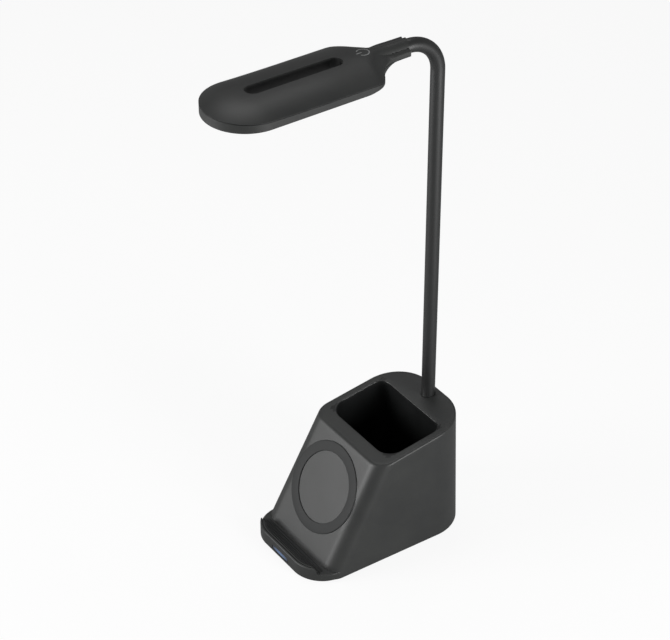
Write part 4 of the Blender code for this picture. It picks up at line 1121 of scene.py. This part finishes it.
# Status light
# A clear acrylic pipe that carries a board lamp's cold blue glow to a window in the lip's front.
# The glow fades to both sides with the square of the way out.
GLOW_HALF = 0.0075
GLOW_STRENGTH = 0.2
glow, tree, shader, place = new_material("acrylic_light_pipe_blue")
split = add(tree, "ShaderNodeSeparateXYZ", links={"Vector": place})
side = add(tree, "ShaderNodeMath", {1: GLOW_HALF}, {0: split.outputs["X"]}, operation="DIVIDE")
square = add(tree, "ShaderNodeMath", {1: 2.0}, {0: side.outputs["Value"]}, operation="POWER")
fade = add(tree, "ShaderNodeMath", {0: 1.0}, {1: square.outputs["Value"]}, operation="SUBTRACT")
tint = add(tree, "ShaderNodeValToRGB", links={"Fac": fade.outputs["Value"]})
first, last = tint.color_ramp.elements
first.color, last.color = srgb("#26282c"), srgb("#5a6c8b")
wire(
    tree,
    shader,
    {"Emission Strength": GLOW_STRENGTH, "Roughness": 0.25},
    {"Base Color": tint.outputs["Color"], "Emission Color": tint.outputs["Color"]},
)
dress(glow, "status_light_pipe")

# Studio
# A plain white floor and backdrop that the camera sees as a sheet of light, two soft boxes low at
# the sides and one above. The object gets its light from the boxes and little from the backdrop.
FLOOR_HALF = 3.0
CAMERA_SHARE = 0.90
GLOSSY_SHARE = 0.12
AMBIENT = 0.10
PAPER_FLECK = 0.004
SOFT_BOXES = (
    ("box_right", (0.92, 0.19, 0.28), (0, 0, 0.20), 0.4, 9),
    ("box_left", (-0.38, -0.88, 0.32), (0, 0, 0.20), 0.5, 8.4),
    ("box_above", (-0.40, 0.14, 1.20), (0, -0.03, 0.30), 0.6, 3.1),
)
floor = bpy.data.objects.new("floor", bpy.data.meshes.new("floor"))
corners = np.array([(-1, -1, 0), (1, -1, 0), (1, 1, 0), (-1, 1, 0)]) * FLOOR_HALF
floor.data.from_pydata(corners, [], [(0, 1, 2, 3)])
bpy.context.scene.collection.objects.link(floor)
# Matt white paper: grey enough to keep the object's shadow, and shown to the camera as white.
white, tree, shader, place = new_material("paper_white_floor")
fleck = add(
    tree, "ShaderNodeTexNoise", {"Scale": 1 / PAPER_FLECK, "Detail": 2.0}, {"Vector": place}
)
tint = add(tree, "ShaderNodeValToRGB", links={"Fac": fleck.outputs["Fac"]})
first, last = tint.color_ramp.elements
first.color, last.color = srgb("#989898"), srgb("#a0a0a0")
path = add(tree, "ShaderNodeLightPath")
shown = add(
    tree,
    "ShaderNodeMix",
    {"B": (1, 1, 1, 1)},
    {"Factor": path.outputs["Is Camera Ray"], "A": tint.outputs["Color"]},
    data_type="RGBA",
)
wire(tree, shader, {"Roughness": 0.9}, {"Base Color": shown.outputs["Result"]})
lit = add(tree, "ShaderNodeEmission", {"Strength": 1.0, "Color": (1, 1, 1, 1)})
seen = add(
    tree,
    "ShaderNodeMath",
    {1: GLOSSY_SHARE},
    {0: path.outputs["Is Glossy Ray"], 2: path.outputs["Is Transmission Ray"]},
    operation="MULTIPLY_ADD",
)
seen = add(
    tree,
    "ShaderNodeMath",
    {1: CAMERA_SHARE},
    {0: path.outputs["Is Camera Ray"], 2: seen.outputs["Value"]},
    operation="MULTIPLY_ADD",
)
mixed = add(
    tree,
    "ShaderNodeMixShader",
    links={0: seen.outputs["Value"], 1: shader.outputs["BSDF"], 2: lit.outputs["Emission"]},
)
wire(tree, tree.nodes["Material Output"], links={"Surface": mixed.outputs["Shader"]})
floor.data.materials.append(white)

world = bpy.data.worlds.new("studio")
bpy.context.scene.world = world
world.use_nodes = True
tree = world.node_tree
path = add(tree, "ShaderNodeLightPath")
seen = add(
    tree,
    "ShaderNodeMath",
    links={0: path.outputs["Is Camera Ray"], 1: path.outputs["Is Transmission Ray"]},
    operation="ADD",
)
seen = add(
    tree,
    "ShaderNodeMath",
    {1: GLOSSY_SHARE},
    {0: path.outputs["Is Glossy Ray"], 2: seen.outputs["Value"]},
    operation="MULTIPLY_ADD",
)
level = add(
    tree, "ShaderNodeMapRange", {"To Min": AMBIENT, "To Max": 1.0}, {"Value": seen.outputs["Value"]}
)
sky = tree.nodes["Background"]
wire(tree, sky, {"Color": (1, 1, 1, 1)}, {"Strength": level.outputs["Result"]})

for name, place, aim, size, watts in SOFT_BOXES:
    lamp = bpy.data.lights.new(name, "AREA")
    lamp.shape, lamp.size, lamp.energy = "SQUARE", size, watts
    holder = bpy.data.objects.new(name, lamp)
    bpy.context.scene.collection.objects.link(holder)
    away = np.array(place) - np.array(aim)
    tilt = math.atan2(math.hypot(away[0], away[1]), away[2])
    holder.location = place
    holder.rotation_euler = (tilt, 0, math.atan2(away[0], -away[1]))
    holder.visible_camera = False

# Camera
# A long lens from the photograph's side: its aim, angles and distance come from the lines and
# corners that the photograph shows.
CAMERA_AIM = np.array([0, -0.0174, 0.1507])
CAMERA_AZIMUTH = math.radians(55.17)
CAMERA_ELEVATION = math.radians(35.42)
CAMERA_DISTANCE = 1.20939
CAMERA_LENS = 121.34
SENSOR = 36.0
CLIP_NEAR, CLIP_FAR = 0.05, 20
camera = bpy.data.objects.new("camera", bpy.data.cameras.new("camera"))
bpy.context.scene.collection.objects.link(camera)
camera.data.lens, camera.data.sensor_width = CAMERA_LENS, SENSOR
camera.data.sensor_fit = "HORIZONTAL"
camera.data.clip_start, camera.data.clip_end = CLIP_NEAR, CLIP_FAR
level_reach = math.cos(CAMERA_ELEVATION)
back = np.array(
    [
        math.sin(CAMERA_AZIMUTH) * level_reach,
        -math.cos(CAMERA_AZIMUTH) * level_reach,
        math.sin(CAMERA_ELEVATION),
    ]
)
camera.location = CAMERA_AIM + back * CAMERA_DISTANCE
camera.rotation_euler = (math.pi / 2 - CAMERA_ELEVATION, 0, CAMERA_AZIMUTH)
bpy.context.scene.camera = camera
bpy.context.scene.view_settings.view_transform = "Standard"
